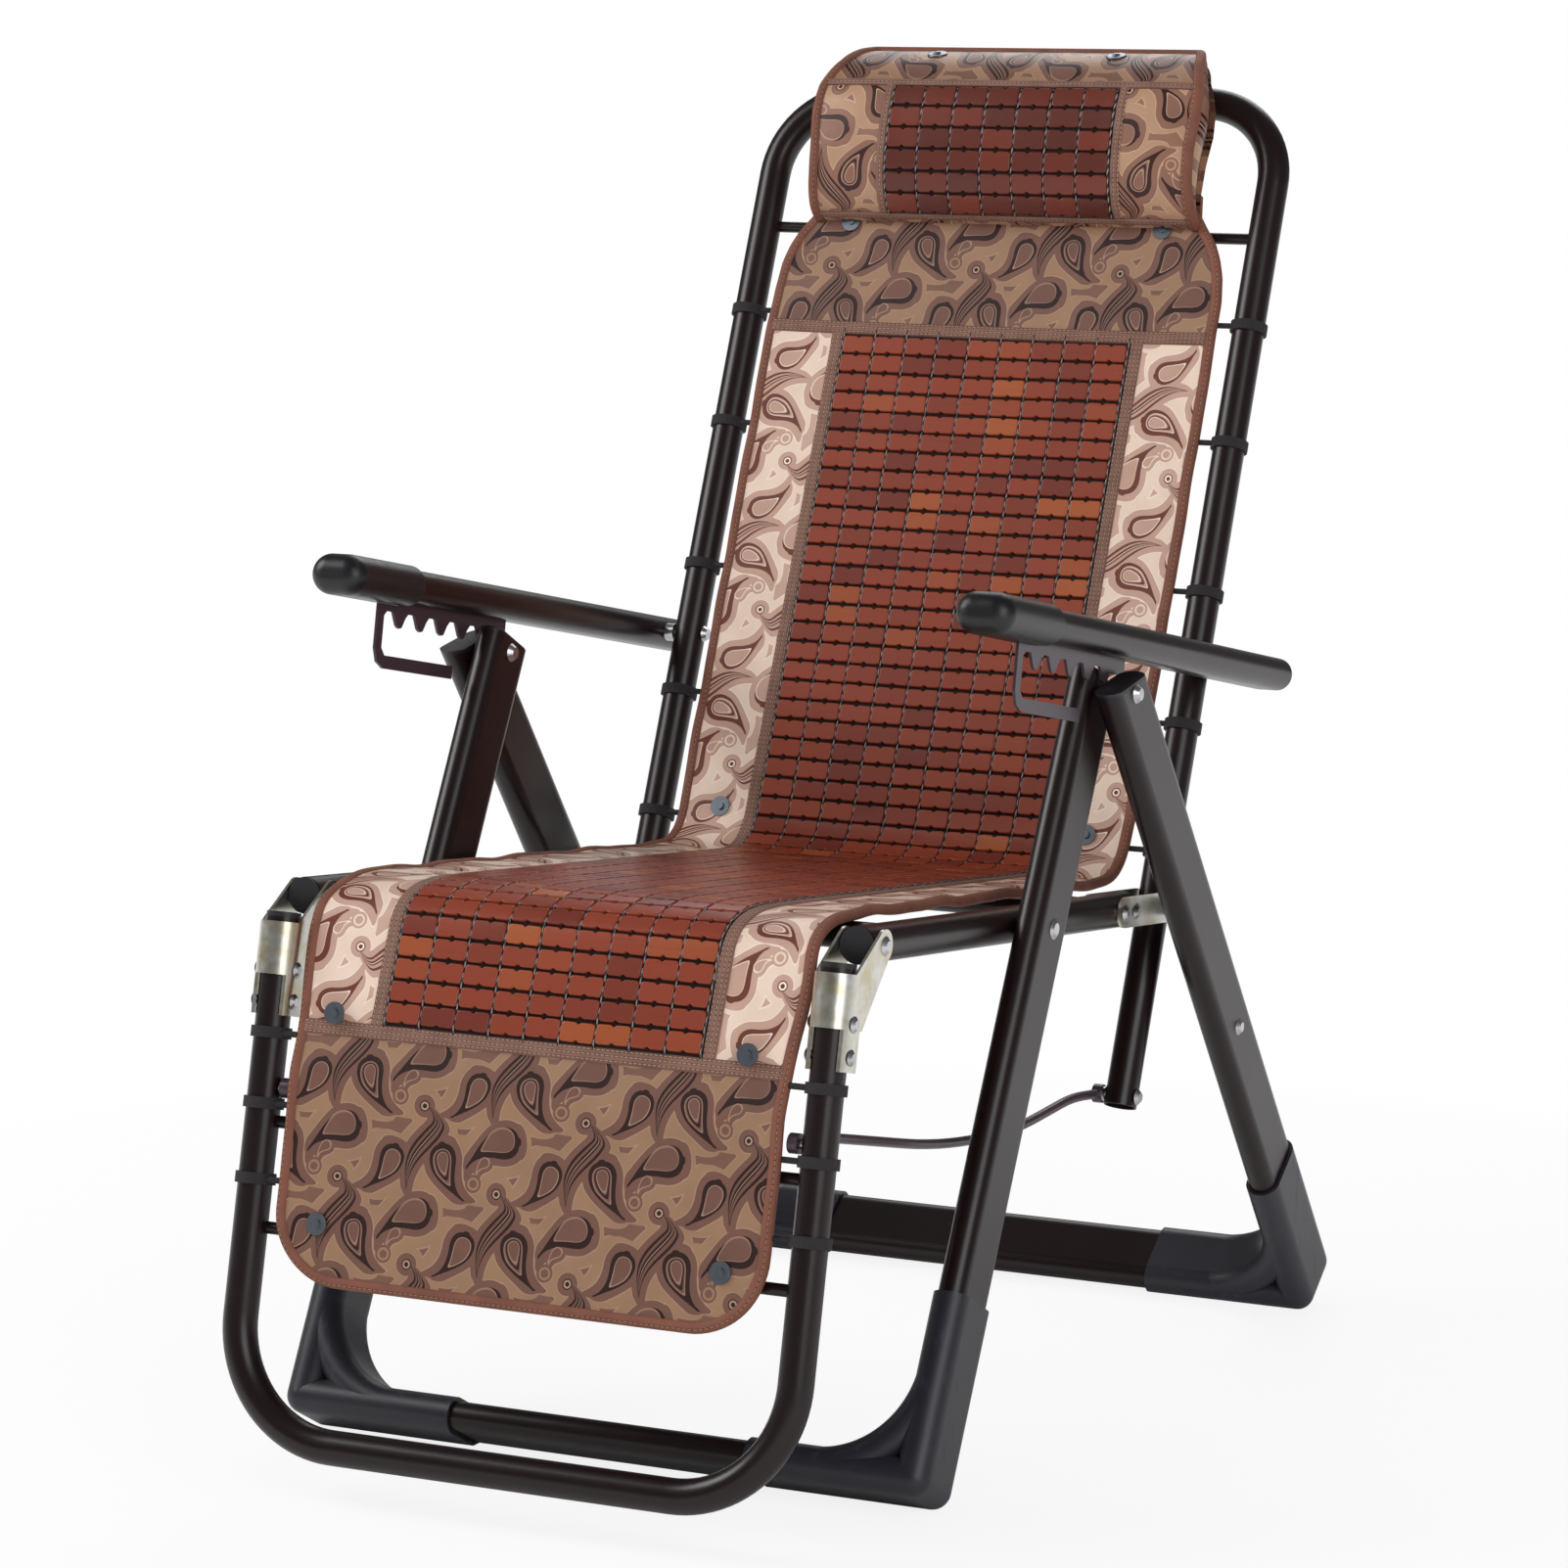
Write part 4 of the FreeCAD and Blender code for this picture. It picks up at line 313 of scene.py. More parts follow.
class Finish:
    """A material and its one shader."""

    def __init__(self, name):
        self.material = bpy.data.materials.new(name)
        self.material.use_nodes = True
        self.tree = self.material.node_tree
        self.shader = self.tree.nodes["Principled BSDF"]
        self._object = None

    def feed(self, socket, value):
        """Links a value to a socket, or writes a number, a vector or a colour (RRGGBB too) there."""
        if isinstance(value, Value):
            self.tree.links.new(value.socket, socket)
        else:
            socket.default_value = tone(value) if isinstance(value, str) else value

    def node(self, kind, settings=None, **inputs):
        """Adds a node: its settings first, then its sockets by name."""
        made = self.tree.nodes.new("ShaderNode" + kind)
        for key, value in (settings or {}).items():
            setattr(made, key, value)
        for key, value in inputs.items():
            wanted = key.replace("_", " ")
            socket = next(s for s in made.inputs if s.name == wanted and s.enabled)
            self.feed(socket, value)
        return made

    def out(self, made, name):
        return Value(self, next(s for s in made.outputs if s.name == name and s.enabled))

    def ordered(self, kind, settings, *values):
        """Adds a node, fed in the order of its sockets, and gives its output."""
        made = self.node(kind, settings)
        for socket, value in zip([s for s in made.inputs if s.enabled], values):
            self.feed(socket, value)
        return Value(self, next(s for s in made.outputs if s.enabled))

    def math(self, operation, *values):
        return self.ordered("Math", {"operation": operation}, *values)

    def place(self):
        """Object coordinates."""
        if self._object is None:
            self._object = self.out(self.node("TexCoord"), "Object")
        return self._object

    def stretched(self, scale):
        """Object coordinates times a scale for each axis."""
        return self.out(self.node("Mapping", Vector=self.place(), Scale=scale), "Vector")

    def cloth(self):
        """The piece's own map, in metres across and along."""
        made = self.node("UVMap", {"uv_map": "cloth"})
        split = self.node("SeparateXYZ", Vector=self.out(made, "UV"))
        return self.out(split, "X"), self.out(split, "Y")

    def point(self, x, y):
        return self.out(self.node("CombineXYZ", X=x, Y=y), "Vector")

    def noise(self, scale, detail, vector=None):
        return self.out(self.node("TexNoise", Vector=vector or self.place(), Scale=scale, Detail=detail), "Fac")

    def tint(self):
        return self.out(self.node("Attribute", {"attribute_name": "tint"}), "Fac")

    def mix(self, share, first, second):
        """The first colour where share is 0 and the second where it is 1."""
        return self.ordered("Mix", {"data_type": "RGBA"}, share, first, second)

    def layered(self, colour, *layers):
        """The colour with others laid over it in turn, each with its share."""
        for share, over in layers:
            colour = self.mix(share, colour, over)
        return colour

    def ramp(self, value, low, high):
        """0 at low, 1 at high, eased between."""
        return self.ordered("MapRange", {"interpolation_type": "SMOOTHSTEP"}, value, low, high)

    def bump(self, height, distance, strength):
        return self.out(self.node("Bump", Height=height, Distance=distance, Strength=strength), "Normal")

    def surface(self, **inputs):
        """Sets the shader's sockets and gives the material."""
        for key, value in inputs.items():
            self.feed(self.shader.inputs[key.replace("_", " ")], value)
        return self.material


# Finishes


def painted(name, colour, sheen):
    """Glossy powder coat: a fine orange peel, a little dust and soft rubbed places."""
    finish = Finish(name)
    cloud = finish.noise(9.0, 4.0)
    peel = finish.noise(900.0, 2.0)
    return finish.surface(Base_Color=finish.mix(finish.ramp(cloud, 0.45, 0.85) * 0.08, colour, "3a2422"),
                          Roughness=sheen + 0.10 * cloud + 0.05 * peel, Normal=finish.bump(peel, 0.0002, 0.2),
                          Specular_IOR_Level=0.42)


def zinc_plated(name):
    """Pressed steel with yellow passivation: warm and cool clouds over fine rolling lines."""
    finish = Finish(name)
    cloud = finish.noise(55.0, 3.0)
    lines = finish.noise(220.0, 2.0, finish.stretched((1.0, 0.12, 1.0)))
    warm = finish.mix(finish.ramp(cloud, 0.35, 0.65), "dcdad4", "c9c1a6")
    colour = finish.mix(finish.ramp(finish.noise(23.0, 2.0), 0.5, 0.75) * 0.5, warm, "b4aeb2")
    return finish.surface(Base_Color=colour, Metallic=1.0, Roughness=0.24 + 0.16 * lines,
                          Normal=finish.bump(lines, 0.0002, 0.3))


def bright_steel(name, colour, rough):
    """Plated fasteners with faint handling marks."""
    finish = Finish(name)
    marks = finish.noise(300.0, 3.0)
    shade = finish.mix(finish.ramp(finish.noise(60.0, 2.0), 0.4, 0.7) * 0.4, colour, "8e8f94")
    return finish.surface(Base_Color=shade, Metallic=1.0, Roughness=rough + 0.15 * marks,
                          Normal=finish.bump(marks, 0.0002, 0.3))


def moulded(name, colour, worn, rough, grain):
    """Moulded plastic with a fine leathery grain and scuffs of the worn colour in streaks that run up and down."""
    finish = Finish(name)
    cells = finish.node("TexVoronoi", {"feature": "DISTANCE_TO_EDGE"}, Vector=finish.place(), Scale=grain)
    pebble = finish.out(cells, "Distance").least(0.12)
    cloud = finish.noise(14.0, 4.0)
    scuff = finish.ramp(finish.noise(120.0, 5.0, finish.stretched((1.0, 1.0, 0.25))), 0.58, 0.78)
    return finish.surface(Base_Color=finish.mix(scuff * 0.35 + 0.25 * cloud, colour, worn),
                          Roughness=rough + 0.18 * scuff + 0.08 * cloud,
                          Normal=finish.bump(pebble + 0.02 * scuff, 0.0006, 0.35))


def corded(name, colour, light):
    """Round lace: strands wound at a slant, seen as light ridges."""
    finish = Finish(name)
    wave = finish.out(finish.node("TexWave", {"bands_direction": "DIAGONAL"}, Vector=finish.place(), Scale=420.0,
                                  Distortion=0.6), "Fac")
    fuzz = finish.noise(900.0, 2.0)
    return finish.surface(Base_Color=finish.mix(wave * 0.6 + 0.2 * fuzz, colour, light), Roughness=0.72 + 0.1 * fuzz,
                          Normal=finish.bump(wave, 0.0005, 0.5))


def drop(x, y):
    """Signed distance to a drop with a bent tail: half width squared is k (1 - y)^3 (1 + y)."""
    tall = y.most(-1.0).least(1.0)
    lean = (y + 0.25).most(0.0)
    bent = x - 0.42 * lean * lean + 0.08
    left = 1 - tall
    wide = left * left * left * (1 + tall) * 0.150
    over = (abs(y) - 1.0).most(0.0)
    field = bent * bent + 3.0 * over * over - wide
    slope = left * left * (-2.0 - 4.0 * tall) * 0.150
    return field / (4.0 * bent * bent + slope * slope + 0.03).root()


def plume(x, y):
    """Signed distance to a feather on a wave with a hooked head, and how far across it a point is."""
    tall = y.most(-1.0).least(1.0)
    hook = (-0.60 - tall).most(0.0)
    bent = x - (tall * 2.4 + 0.53).sine() * 0.19 - hook * hook * 3.4
    half = (1 - tall * tall) * (5.0 - 3.0 * tall) * 0.040 - 0.012
    over = (abs(y) - 1.0).most(0.0)
    return (abs(bent) - half) * 0.8 + over, bent / (half + 0.02)


def spot(across, along, middle, turn, size, side=1, tall_motif=False):
    """A motif's own coordinates, each row half a cell further across; a tall motif's cells are half as wide and two
    rows tall."""
    wide, tall = CELL
    x, y = across - middle[0], along - middle[1]
    if tall_motif:
        column = (x / (wide / 2) + 0.5).floor()
        x = x - column * (wide / 2)
        y = y - column * tall
        y = y - (y / (2 * tall) + 0.5).floor() * (2 * tall)
    else:
        row = (y / tall + 0.5).floor()
        y = y - row * tall
        x = x - row * (wide / 2)
        x = x - (x / wide + 0.5).floor() * wide
    c, s = math.cos(math.radians(turn)) / size, math.sin(math.radians(turn)) / size
    return (x * c + y * s) * side, y * c - x * s


CELL = (0.1420, 0.0620)
DROPS = (
    ((0.0020, 0.0), -12.0, 0.0230, 1),
    ((0.0190, -0.0600), 16.0, 0.0205, -1),
    ((0.0410, -0.0240), 80.0, 0.0240, 1),
)
PLUME = ((-0.0205, -0.0165), 16.0, 0.0345, -1)
SEED = ((0.0330, -0.0090), 60.0, 0.0070, 1)
CURL = ((0.0270, 0.0060), 0.0, 1.0)


def paisley_cloth(name, ground, veil, line, light, rough, turned=False):
    """Printed and glazed cloth: drops and feathers, each in a halo, with gores between the halos, on a fine weave."""
    finish = Finish(name)
    across, along = finish.cloth()
    place = finish.point(across, along)
    sway = (finish.noise(9.0, 1.0, place) - 0.5) * 0.007
    first, second = (along + sway, across) if turned else (across + sway, along)
    x, y = spot(first, second, *SEED)
    seed = drop(x, y)
    x, y = spot(first, second, *CURL)
    curl = (x * x + y * y).root()
    x, y = spot(first, second, *PLUME, tall_motif=True)
    field, share = plume(x, y)
    eye = ((x - 0.32) * (x - 0.32) + (y + 0.92) * (y + 0.92)).root()
    near = (seed * SEED[2] + 0.0020).least(curl - 0.0022)
    near = near.least(field * PLUME[2]).least((eye - 0.12) * PLUME[2])
    drops = []
    for spec in DROPS:
        x, y = spot(first, second, *spec)
        inner = drop(x, y)
        drops.append((inner, x, y))
        near = near.least(inner * spec[2])
    colour = finish.layered(ground, ((near > 0.0110) * 0.85, veil), ((abs(near - 0.0110) < 0.00035) * 0.8, light),
                            ((near < 0.0050) * 0.95, veil), ((abs(near - 0.0052) < 0.00035) * 0.6, light),
                            (abs(curl - 0.0042) < 0.0009, ground))
    press = (abs(near - 0.0052) < 0.0006).most(field < 0.02)
    for number, (inner, x, y) in enumerate(drops):
        heavy = inner + 0.125 + 0.12 * (y * -1.0).most(0.0) + (0.34 if number == 2 else 0.12) * x
        colour = finish.layered(colour, (inner < 0.015, line), (heavy < 0.0, veil),
                                ((abs(heavy + 0.030) < 0.022) * (0.9 if number == 1 else 0.5), light))
        if number == 0:
            colour = finish.layered(colour, (abs(heavy + 0.170) < 0.050, line),
                                    ((abs(heavy + 0.300) < 0.030) * 0.7, light))
        press = press.most(inner < 0.02)
    fade = finish.noise(30.0, 3.0, place)
    inside = field < 0.0
    colour = finish.layered(colour, ((seed < 0.10) * 0.7, light), (seed < -0.02, veil), (field < 0.012, line),
                            (inside * (abs(share - 0.50) < 0.14), veil), (inside * (abs(share + 0.44) < 0.20), veil),
                            (inside * (abs(share - 0.02) < 0.055) * 0.8, light), (eye < 0.125, line),
                            (abs(eye - 0.075) < 0.022, light), (finish.ramp(fade, 0.3, 0.8) * 0.12, line))
    warp = (across * 9000.0).sine() * 0.5 + (along * 9000.0).sine() * 0.5
    height = warp * 0.30 - press * 0.7 + finish.noise(120.0, 2.0, place) * 1.6
    return finish.surface(Base_Color=colour, Roughness=rough + 0.12 * fade + 0.05 * press,
                          Normal=finish.bump(height, 0.00022, 0.45), Coat_Weight=0.16, Coat_Roughness=0.22,
                          Specular_IOR_Level=0.35)


def lacquered_tiles(name, dark, red, orange):
    """Bamboo tiles under lacquer: a tone of its own for each tile, grain along it and dark flecks."""
    finish = Finish(name)
    own = finish.tint()
    grain = finish.noise(60.0, 4.0, finish.stretched((0.6, 9.0, 9.0)))
    fleck = finish.ramp(finish.noise(24.0, 3.0, finish.stretched((0.5, 14.0, 14.0))), 0.55, 0.75)
    colour = finish.layered(dark, (finish.ramp(own, 0.05, 0.5), red), (finish.ramp(own, 0.70, 1.0), orange),
                            (grain * 0.28, dark), (fleck * 0.18, "5a2416"))
    return finish.surface(Base_Color=colour, Roughness=0.30 + 0.14 * grain, Normal=finish.bump(grain, 0.0002, 0.3),
                          Coat_Weight=0.28, Coat_Roughness=0.24, Specular_IOR_Level=0.30)


def woven(name, dark, light, pitch):
    """Plain weave on the piece's own map: threads over and under in turn."""
    finish = Finish(name)
    across, along = finish.cloth()
    x, y = (across * (math.pi / pitch)).sine(), (along * (math.pi / pitch)).sine()
    thread = abs(x) * 0.5 + abs(y) * 0.5
    over = (x * y) > 0.0
    fuzz = finish.noise(700.0, 2.0)
    colour = finish.mix(thread * 0.55 + 0.25 * over + 0.2 * fuzz, dark, light)
    return finish.surface(Base_Color=colour, Roughness=0.85 + 0.08 * fuzz,
                          Normal=finish.bump(thread + 0.4 * over, 0.0004, 0.6))


def stitched(name, cloth, shade, thread, rows, pitch=0.0042):
    """Tape or binding with rows of stitches: each a line at one place across the map, broken into dashes along it."""
    finish = Finish(name)
    across, along = finish.cloth()
    rib = abs((along * (math.pi / 0.0011)).sine())
    cloud = finish.noise(45.0, 3.0)
    colour = finish.mix(rib * 0.35 + 0.5 * finish.ramp(cloud, 0.35, 0.7), cloth, shade)
    height = rib * 0.35
    dash = finish.ramp(abs((along / pitch).fraction() - 0.5), 0.42, 0.34)
    for place, wide in rows:
        near = abs(across - place)
        seam = finish.ramp(near, wide * 2.2, wide * 0.9)
        lie = finish.ramp(near, wide, wide * 0.7) * dash
        colour = finish.layered(colour, (seam * 0.75, "2a130e"), (lie, thread))
        height = height - seam * 1.6 + lie * 2.2
    return finish.surface(Base_Color=colour, Roughness=0.62 + 0.15 * cloud, Normal=finish.bump(height, 0.0004, 0.6))


def twisted_thread(name):
    """Black elastic wound with a silver thread."""
    finish = Finish(name)
    across, along = finish.cloth()
    turn = (along / 0.0085 + across).fraction()
    silver = finish.ramp(abs(turn - 0.5), 0.30, 0.22)
    return finish.surface(Base_Color=finish.mix(silver * 0.85, "150e0d", "98908f"), Roughness=0.42 + 0.3 * silver,
                          Normal=finish.bump(turn, 0.0004, 0.5))


def white_floor():
    """White floor that takes the shadow near the chair and glows plain white far from it."""
    finish = Finish("white_floor")
    split = finish.node("SeparateXYZ", Vector=finish.place())
    x, y = finish.out(split, "X"), finish.out(split, "Y")
    far = finish.ramp((x * x + y * y).root(), 0.7, 1.4)
    seen = finish.out(finish.node("LightPath"), "Is Camera Ray")
    glow = finish.node("Emission", Color=(1, 1, 1, 1), Strength=1.0)
    finish.surface(Base_Color=(0.96, 0.96, 0.96, 1), Roughness=0.9, Specular_IOR_Level=0.1)
    both = finish.node("MixShader", Fac=far.most(seen * 0.85))
    link = finish.tree.links.new
    link(finish.shader.outputs[0], both.inputs[1])
    link(glow.outputs[0], both.inputs[2])
    link(both.outputs[0], finish.tree.nodes["Material Output"].inputs["Surface"])
    return finish.material


FINISHES = {}


def finishes():
    """All materials by key, made once from the panel's colours."""
    if FINISHES:
        return FINISHES
    panel = bpy.context.scene.recliner_colours
    paint, dark, red, orange = (
        (*value, 1.0) for value in (panel.paint, panel.tile_dark, panel.tile, panel.tile_light))
    tape_rows = [(place, 0.00045) for place in (0.0040, 0.0, -0.0040)]
    FINISHES.update({
        "paint": painted("brown_powder_coat", paint, 0.24),
        "rack": painted("plum_rack_paint", "3b2f38", 0.24),
        "rod": painted("plum_rod_paint", "453740", 0.22),
        "zinc": zinc_plated("yellow_zinc"),
        "bolt": bright_steel("bolt_steel", "c9c9cc", 0.22),
        "snap": bright_steel("snap_steel", "7c858e", 0.30),
        "nylon": moulded("black_nylon", "141113", "2c282b", 0.32, 900.0),
        "shoe": moulded("grey_shoe_plastic", "201f28", "454451", 0.34, 1100.0),
        "grip": moulded("dark_grip_plastic", "0e0d11", "201f25", 0.30, 1300.0),
        "cap": moulded("black_cap_plastic", "18161a", "343138", 0.38, 1000.0),
        "lace": corded("black_lace", "0f0d0e", "3a3436"),
        "sides": paisley_cloth("pale_paisley", "ecd3c0", "c29c8a", "6a3222", "fbe8da", 0.34, True),
        "bands": paisley_cloth("brown_paisley", "9c785c", "734e42", "280c08", "ad8d77", 0.40),
        "head": paisley_cloth("head_paisley", "b48d70", "8a6150", "34120c", "cba98e", 0.36),
        "tiles": lacquered_tiles("bamboo_tiles", dark, red, orange),
        # The pillow's tiles: a darker copy of the bamboo tiles, painted shade.
        "head_tiles": lacquered_tiles("bamboo_head_tiles_painted_shade", "54231a", "74301f", "82402a"),
        "net": woven("tile_net", "0e0706", "2a1712", 0.0016),
        "backing": woven("mat_backing", "2b1b17", "5a4035", 0.0010),
        "tape": stitched("seam_tape", "8b6658", "6c4a3d", "b58a72", tape_rows),
        "binding": stitched("edge_binding", "85503c", "6e3f30", "a3745c", [(0.30, 0.012)], 0.0046),
        "thread": twisted_thread("wound_thread"),
        "floor": white_floor(),
    })
    return FINISHES


def both_sides(*names):
    """Names of pieces that come in a right and a left one."""
    return [name + side for name in names for side in ("_right", "_left")]


NODE_FINISH = {
    "paint": ["seat_cross_tube_front", "seat_cross_tube_rear", "back_tube", "head_bar", "leg_rest_tube",
              "leg_rest_bar_upper", "leg_rest_bar_lower", "front_leg_frame", "rear_leg_frame",
              *both_sides("seat_rail", "armrest_tube", "side_link")],
    "rack": both_sides("armrest_rack"),
    "rod": both_sides("link_rod"),
    "zinc": [*both_sides("knee_bracket"), "back_hinge_plates"],
    "bolt": ["hinge_rivets", "back_hinge_bolts", "seat_pivot_bolts", "knee_pins", "knee_rivets", "rod_lugs", "rod_pins",
             "apex_bolts", "link_bolts", "arm_bolts"],
    "snap": ["back_snaps", "leg_snaps"],
    "nylon": ["pivot_washers"],
    "shoe": both_sides("front_shoe", "rear_shoe"),
    "grip": both_sides("armrest_grip"),
    "cap": ["rail_end_plugs", "leg_rest_plugs", "front_leg_caps", "rear_leg_caps", "armrest_tail_caps"],
    "lace": ["back_lacing", "leg_lacing"],
}


# Sizes and colours


def length(name, description, default):
    return FloatProperty(name=name, description=description, default=default, subtype="DISTANCE", unit="LENGTH")


def colour(name, description, code):
    return FloatVectorProperty(name=name, description=description, subtype="COLOR", size=3, default=tone(code)[:3],
                               min=0, max=1)


class ReclinerSizes(PropertyGroup):
    tile_wide: length("Tile pitch across", "Distance from one column of tiles to the next", 0.0310)
    tile_tall: length("Tile pitch along", "Distance from one row of tiles to the next", 0.0179)
    tile_high: length("Tile height", "How far a tile stands above the cloth", 0.0032)
    columns: IntProperty(name="Columns", description="Tiles across the mat", default=9, min=1)
    cloth_thick: length("Cloth thickness", "Thickness of the padded cloth", 0.005)
    tape_wide: length("Tape width", "Width of the sewn tape round the tiles", 0.0120)
    binding: length("Binding", "Width of the binding on the mat's edge", 0.0095)
    pillow_tile: length("Pillow tile pitch", "Distance between the pillow's columns of tiles", 0.0312)


class ReclinerColours(PropertyGroup):
    paint: colour("Frame paint", "Colour of the tubes", "1a0b0c")
    tile: colour("Tile", "Colour of most tiles", "8f3c24")
    tile_dark: colour("Dark tile", "Colour of the darkest tiles", "702c1e")
    tile_light: colour("Light tile", "Colour of the lightest tiles", "a8562a")


# Pieces of the mat


def hang(piece, part):
    """Bakes a piece of the mat's rear or front half in place, or lets a piece ride on the back."""
    if part == "rear":
        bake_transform(piece)
    elif part == "front":
        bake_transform(piece)
    else:
        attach(piece, part)
    return piece


def sew(name, parts, key, part):
    """Several shapes made one piece with one look, and hung."""
    points, faces, uv = joined(parts)
    hang(new_piece(name, points, faces, [key], uv), part)


HALVES = {"rear": (0.0, MIDDLE), "front": (MIDDLE, HEM)}


def tile_outline(wide, tall):
    """A tile seen from above: a rectangle with rounded corners and a small notch in the middle of each long side."""
    w, t, r, dip = wide / 2, tall / 2, tall * 0.17, tall * 0.105
    right = [(w, -t + r), (w, t - r), (w - r * 0.12, t - r * 0.5), (w - r * 0.5, t - r * 0.12), (w - r, t)]
    top = [(w * 0.24, t), (w * 0.15, t - dip * 0.18), (w * 0.07, t - dip * 0.8), (0, t - dip)]
    corner = right + top
    left = [(-x, y) for x, y in corner[-2:0:-1]] + [(-w, t - r)]
    upper = corner[1:] + left
    lower = [(-x, -y) for x, y in upper]
    points = np.array(upper + lower)
    keep = np.linalg.norm(points - np.roll(points, 1, 0), axis=1) > 1e-6
    return points[keep]


def tile_set(places, wide, tall, high, surface, seed):
    """Flat tiles with a narrow bevel, laid on a surface, and a tint for each: rings of the outline, drawn in above."""
    chance = np.random.default_rng(seed)
    outline = tile_outline(wide, tall)
    count = len(outline)
    rings = []
    levels = ((1.0, 0.0002), (1.0, high * 0.62), (0.975, high * 0.84), (0.925, high * 0.97), (0.88, high),
              (0.84, high))
    for share, level in levels:
        inset = (1 - share) * tall * 0.5
        shrink = np.array([1 - 2 * inset / wide, 1 - 2 * inset / tall])
        rings.append(np.concatenate([outline * shrink, np.full((count, 1), level)], 1))
    shape = np.concatenate(rings + [np.array([[0.0, 0.0, high]])])
    last = len(levels)
    faces = quads(last, count, around=True).tolist()
    faces += [[(last - 1) * count + k, (last - 1) * count + (k + 1) % count, last * count] for k in range(count)]
    faces.append(list(range(count))[::-1])
    places = np.asarray(places)
    number = len(places)
    slip = chance.normal(0, 0.00022, (number, 1, 2))
    turn = chance.normal(0, 0.010, (number, 1))
    x = shape[None, :, 0] - turn * shape[None, :, 1]
    y = shape[None, :, 1] + turn * shape[None, :, 0]
    tip = chance.normal(0, 0.007, (number, 1))
    lift = shape[None, :, 2] + tip * shape[None, :, 1] + np.abs(tip) * tall * 0.5
    points = surface(places[:, None, 0] + x + slip[..., 0], places[:, None, 1] + y + slip[..., 1], lift)
    size = len(shape)
    every = [[int(v) + k * size for v in face] for k in range(number) for face in faces]
    tint = np.repeat(np.clip(chance.beta(2.2, 2.6, number) + (chance.random(number) > 0.93) * 0.4, 0, 1), size)
    return points.reshape(-1, 3), every, tint


def ribbon(first, last, half, high, surface, sideways, step=0.006):
    """A sewn tape: a low rounded strip between two points of a surface's own plane, with a map in metres."""
    first, last = np.asarray(first, float), np.asarray(last, float)
    count = max(2, int(np.linalg.norm(last - first) / step) + 1)
    run = first + (last - first) * np.linspace(0, 1, count)[:, None]
    offset = half * np.array([-1, -0.8, -0.3, 0, 0.3, 0.8, 1])
    level = high * np.array([0.0, 1.0, 1.05, 0.9, 1.05, 1.0, 0.0])
    across, along = (run[:, None, k] + offset * (k == sideways) for k in (0, 1))
    top = surface(across, along, np.broadcast_to(level, across.shape))
    low = surface(across, along, np.full(across.shape, -0.0006))
    points, faces, _ = slab(top, low)
    distance = np.linalg.norm(run - run[0], axis=1)
    uv = np.stack(np.broadcast_arrays(offset[None, :], distance[:, None]), -1).reshape(-1, 2)
    return points, faces, np.concatenate([uv, uv])


THREAD_DIP = 0.0179  # distance between the dips of a thread


def thread_line(across, start, stop, surface):
    """A thin wound thread between two columns of tiles, dipping a little at each gap."""
    along = np.arange(start, stop, 0.0045)
    wave = 0.0005 * np.sin(along * (2 * math.pi / THREAD_DIP))
    path = surface(np.full(len(along), across), along, 0.0017 + wave)
    ahead = np.gradient(path, axis=0)
    ahead /= np.linalg.norm(ahead, axis=1)[:, None]
    side = np.tile([1.0, 0.0, 0.0], (len(along), 1))
    up = np.cross(side, ahead)
    return carried(path, side, up, oval(0.0008, 0.0008, 6))


def edge_path(start, stop, inward):
    """The mat's outline round a part: down the left side, along the hem if it has one, and up the right."""
    along = np.linspace(start, stop, max(8, int((stop - start) / 0.005)))
    if stop < HEM - 1e-9:
        side = np.stack([half_width(along) - inward, along], 1)
        return [side, side * [-1, 1]]
    turn = np.linspace(0, math.pi / 2, 18)[1:]
    straight = along[along < HEM - HEM_ROUND]
    side = np.stack([half_width(straight) - inward, straight], 1)
    middle = np.array([half_width(HEM - HEM_ROUND) - HEM_ROUND, HEM - HEM_ROUND])
    corner = middle + (HEM_ROUND - inward) * np.stack([np.cos(turn), np.sin(turn)], 1)
    flat = np.linspace(corner[-1, 0], -corner[-1, 0], 40)[1:-1]
    bottom = np.stack([flat, np.full(len(flat), HEM - inward)], 1)
    return [np.concatenate([side, corner, bottom, (corner * [-1, 1])[::-1], (side * [-1, 1])[::-1]])]


def binding_on(lines, surface, width, thick):
    """A folded binding: a flat rounded outline carried along each line in the surface's plane."""
    parts = []
    for line in lines:
        path = surface(line[:, 0], line[:, 1], np.full(len(line), -0.0024))
        up = surface(line[:, 0], line[:, 1], np.full(len(line), 0.0076)) - path
        up /= np.linalg.norm(up, axis=1)[:, None]
        ahead = np.gradient(path, axis=0)
        ahead /= np.linalg.norm(ahead, axis=1)[:, None]
        parts.append(carried(path, np.cross(ahead, up), up, oval(width / 2, thick / 2, 16, 2.6)))
    return parts


TILE_GAP = 0.0016  # between two columns of tiles


def lay_field(label, count, pitch, centres, tall, ends, surface, seed, key, part, shade=1.0):
    """Rows of tiles on a surface and the threads between their columns; a shade below 1 darkens the tiles by scaling
    their tints down, painted shade.
    """
    places = np.stack(np.meshgrid((np.arange(count) - (count - 1) / 2) * pitch, centres, indexing="ij"), -1)
    high = bpy.context.scene.recliner_sizes.tile_high
    points, faces, tint = tile_set(places.reshape(-1, 2), pitch - TILE_GAP, tall, high, surface, seed)
    piece = new_piece("tiles_" + label, points, faces, [key], tint=tint * shade)
    piece.data.set_sharp_from_angle(angle=math.radians(50))
    hang(piece, part)
    edges = (np.arange(count + 1) - count / 2) * pitch
    sew("threads_" + label, [thread_line(x, *ends, surface) for x in edges], "thread", part)


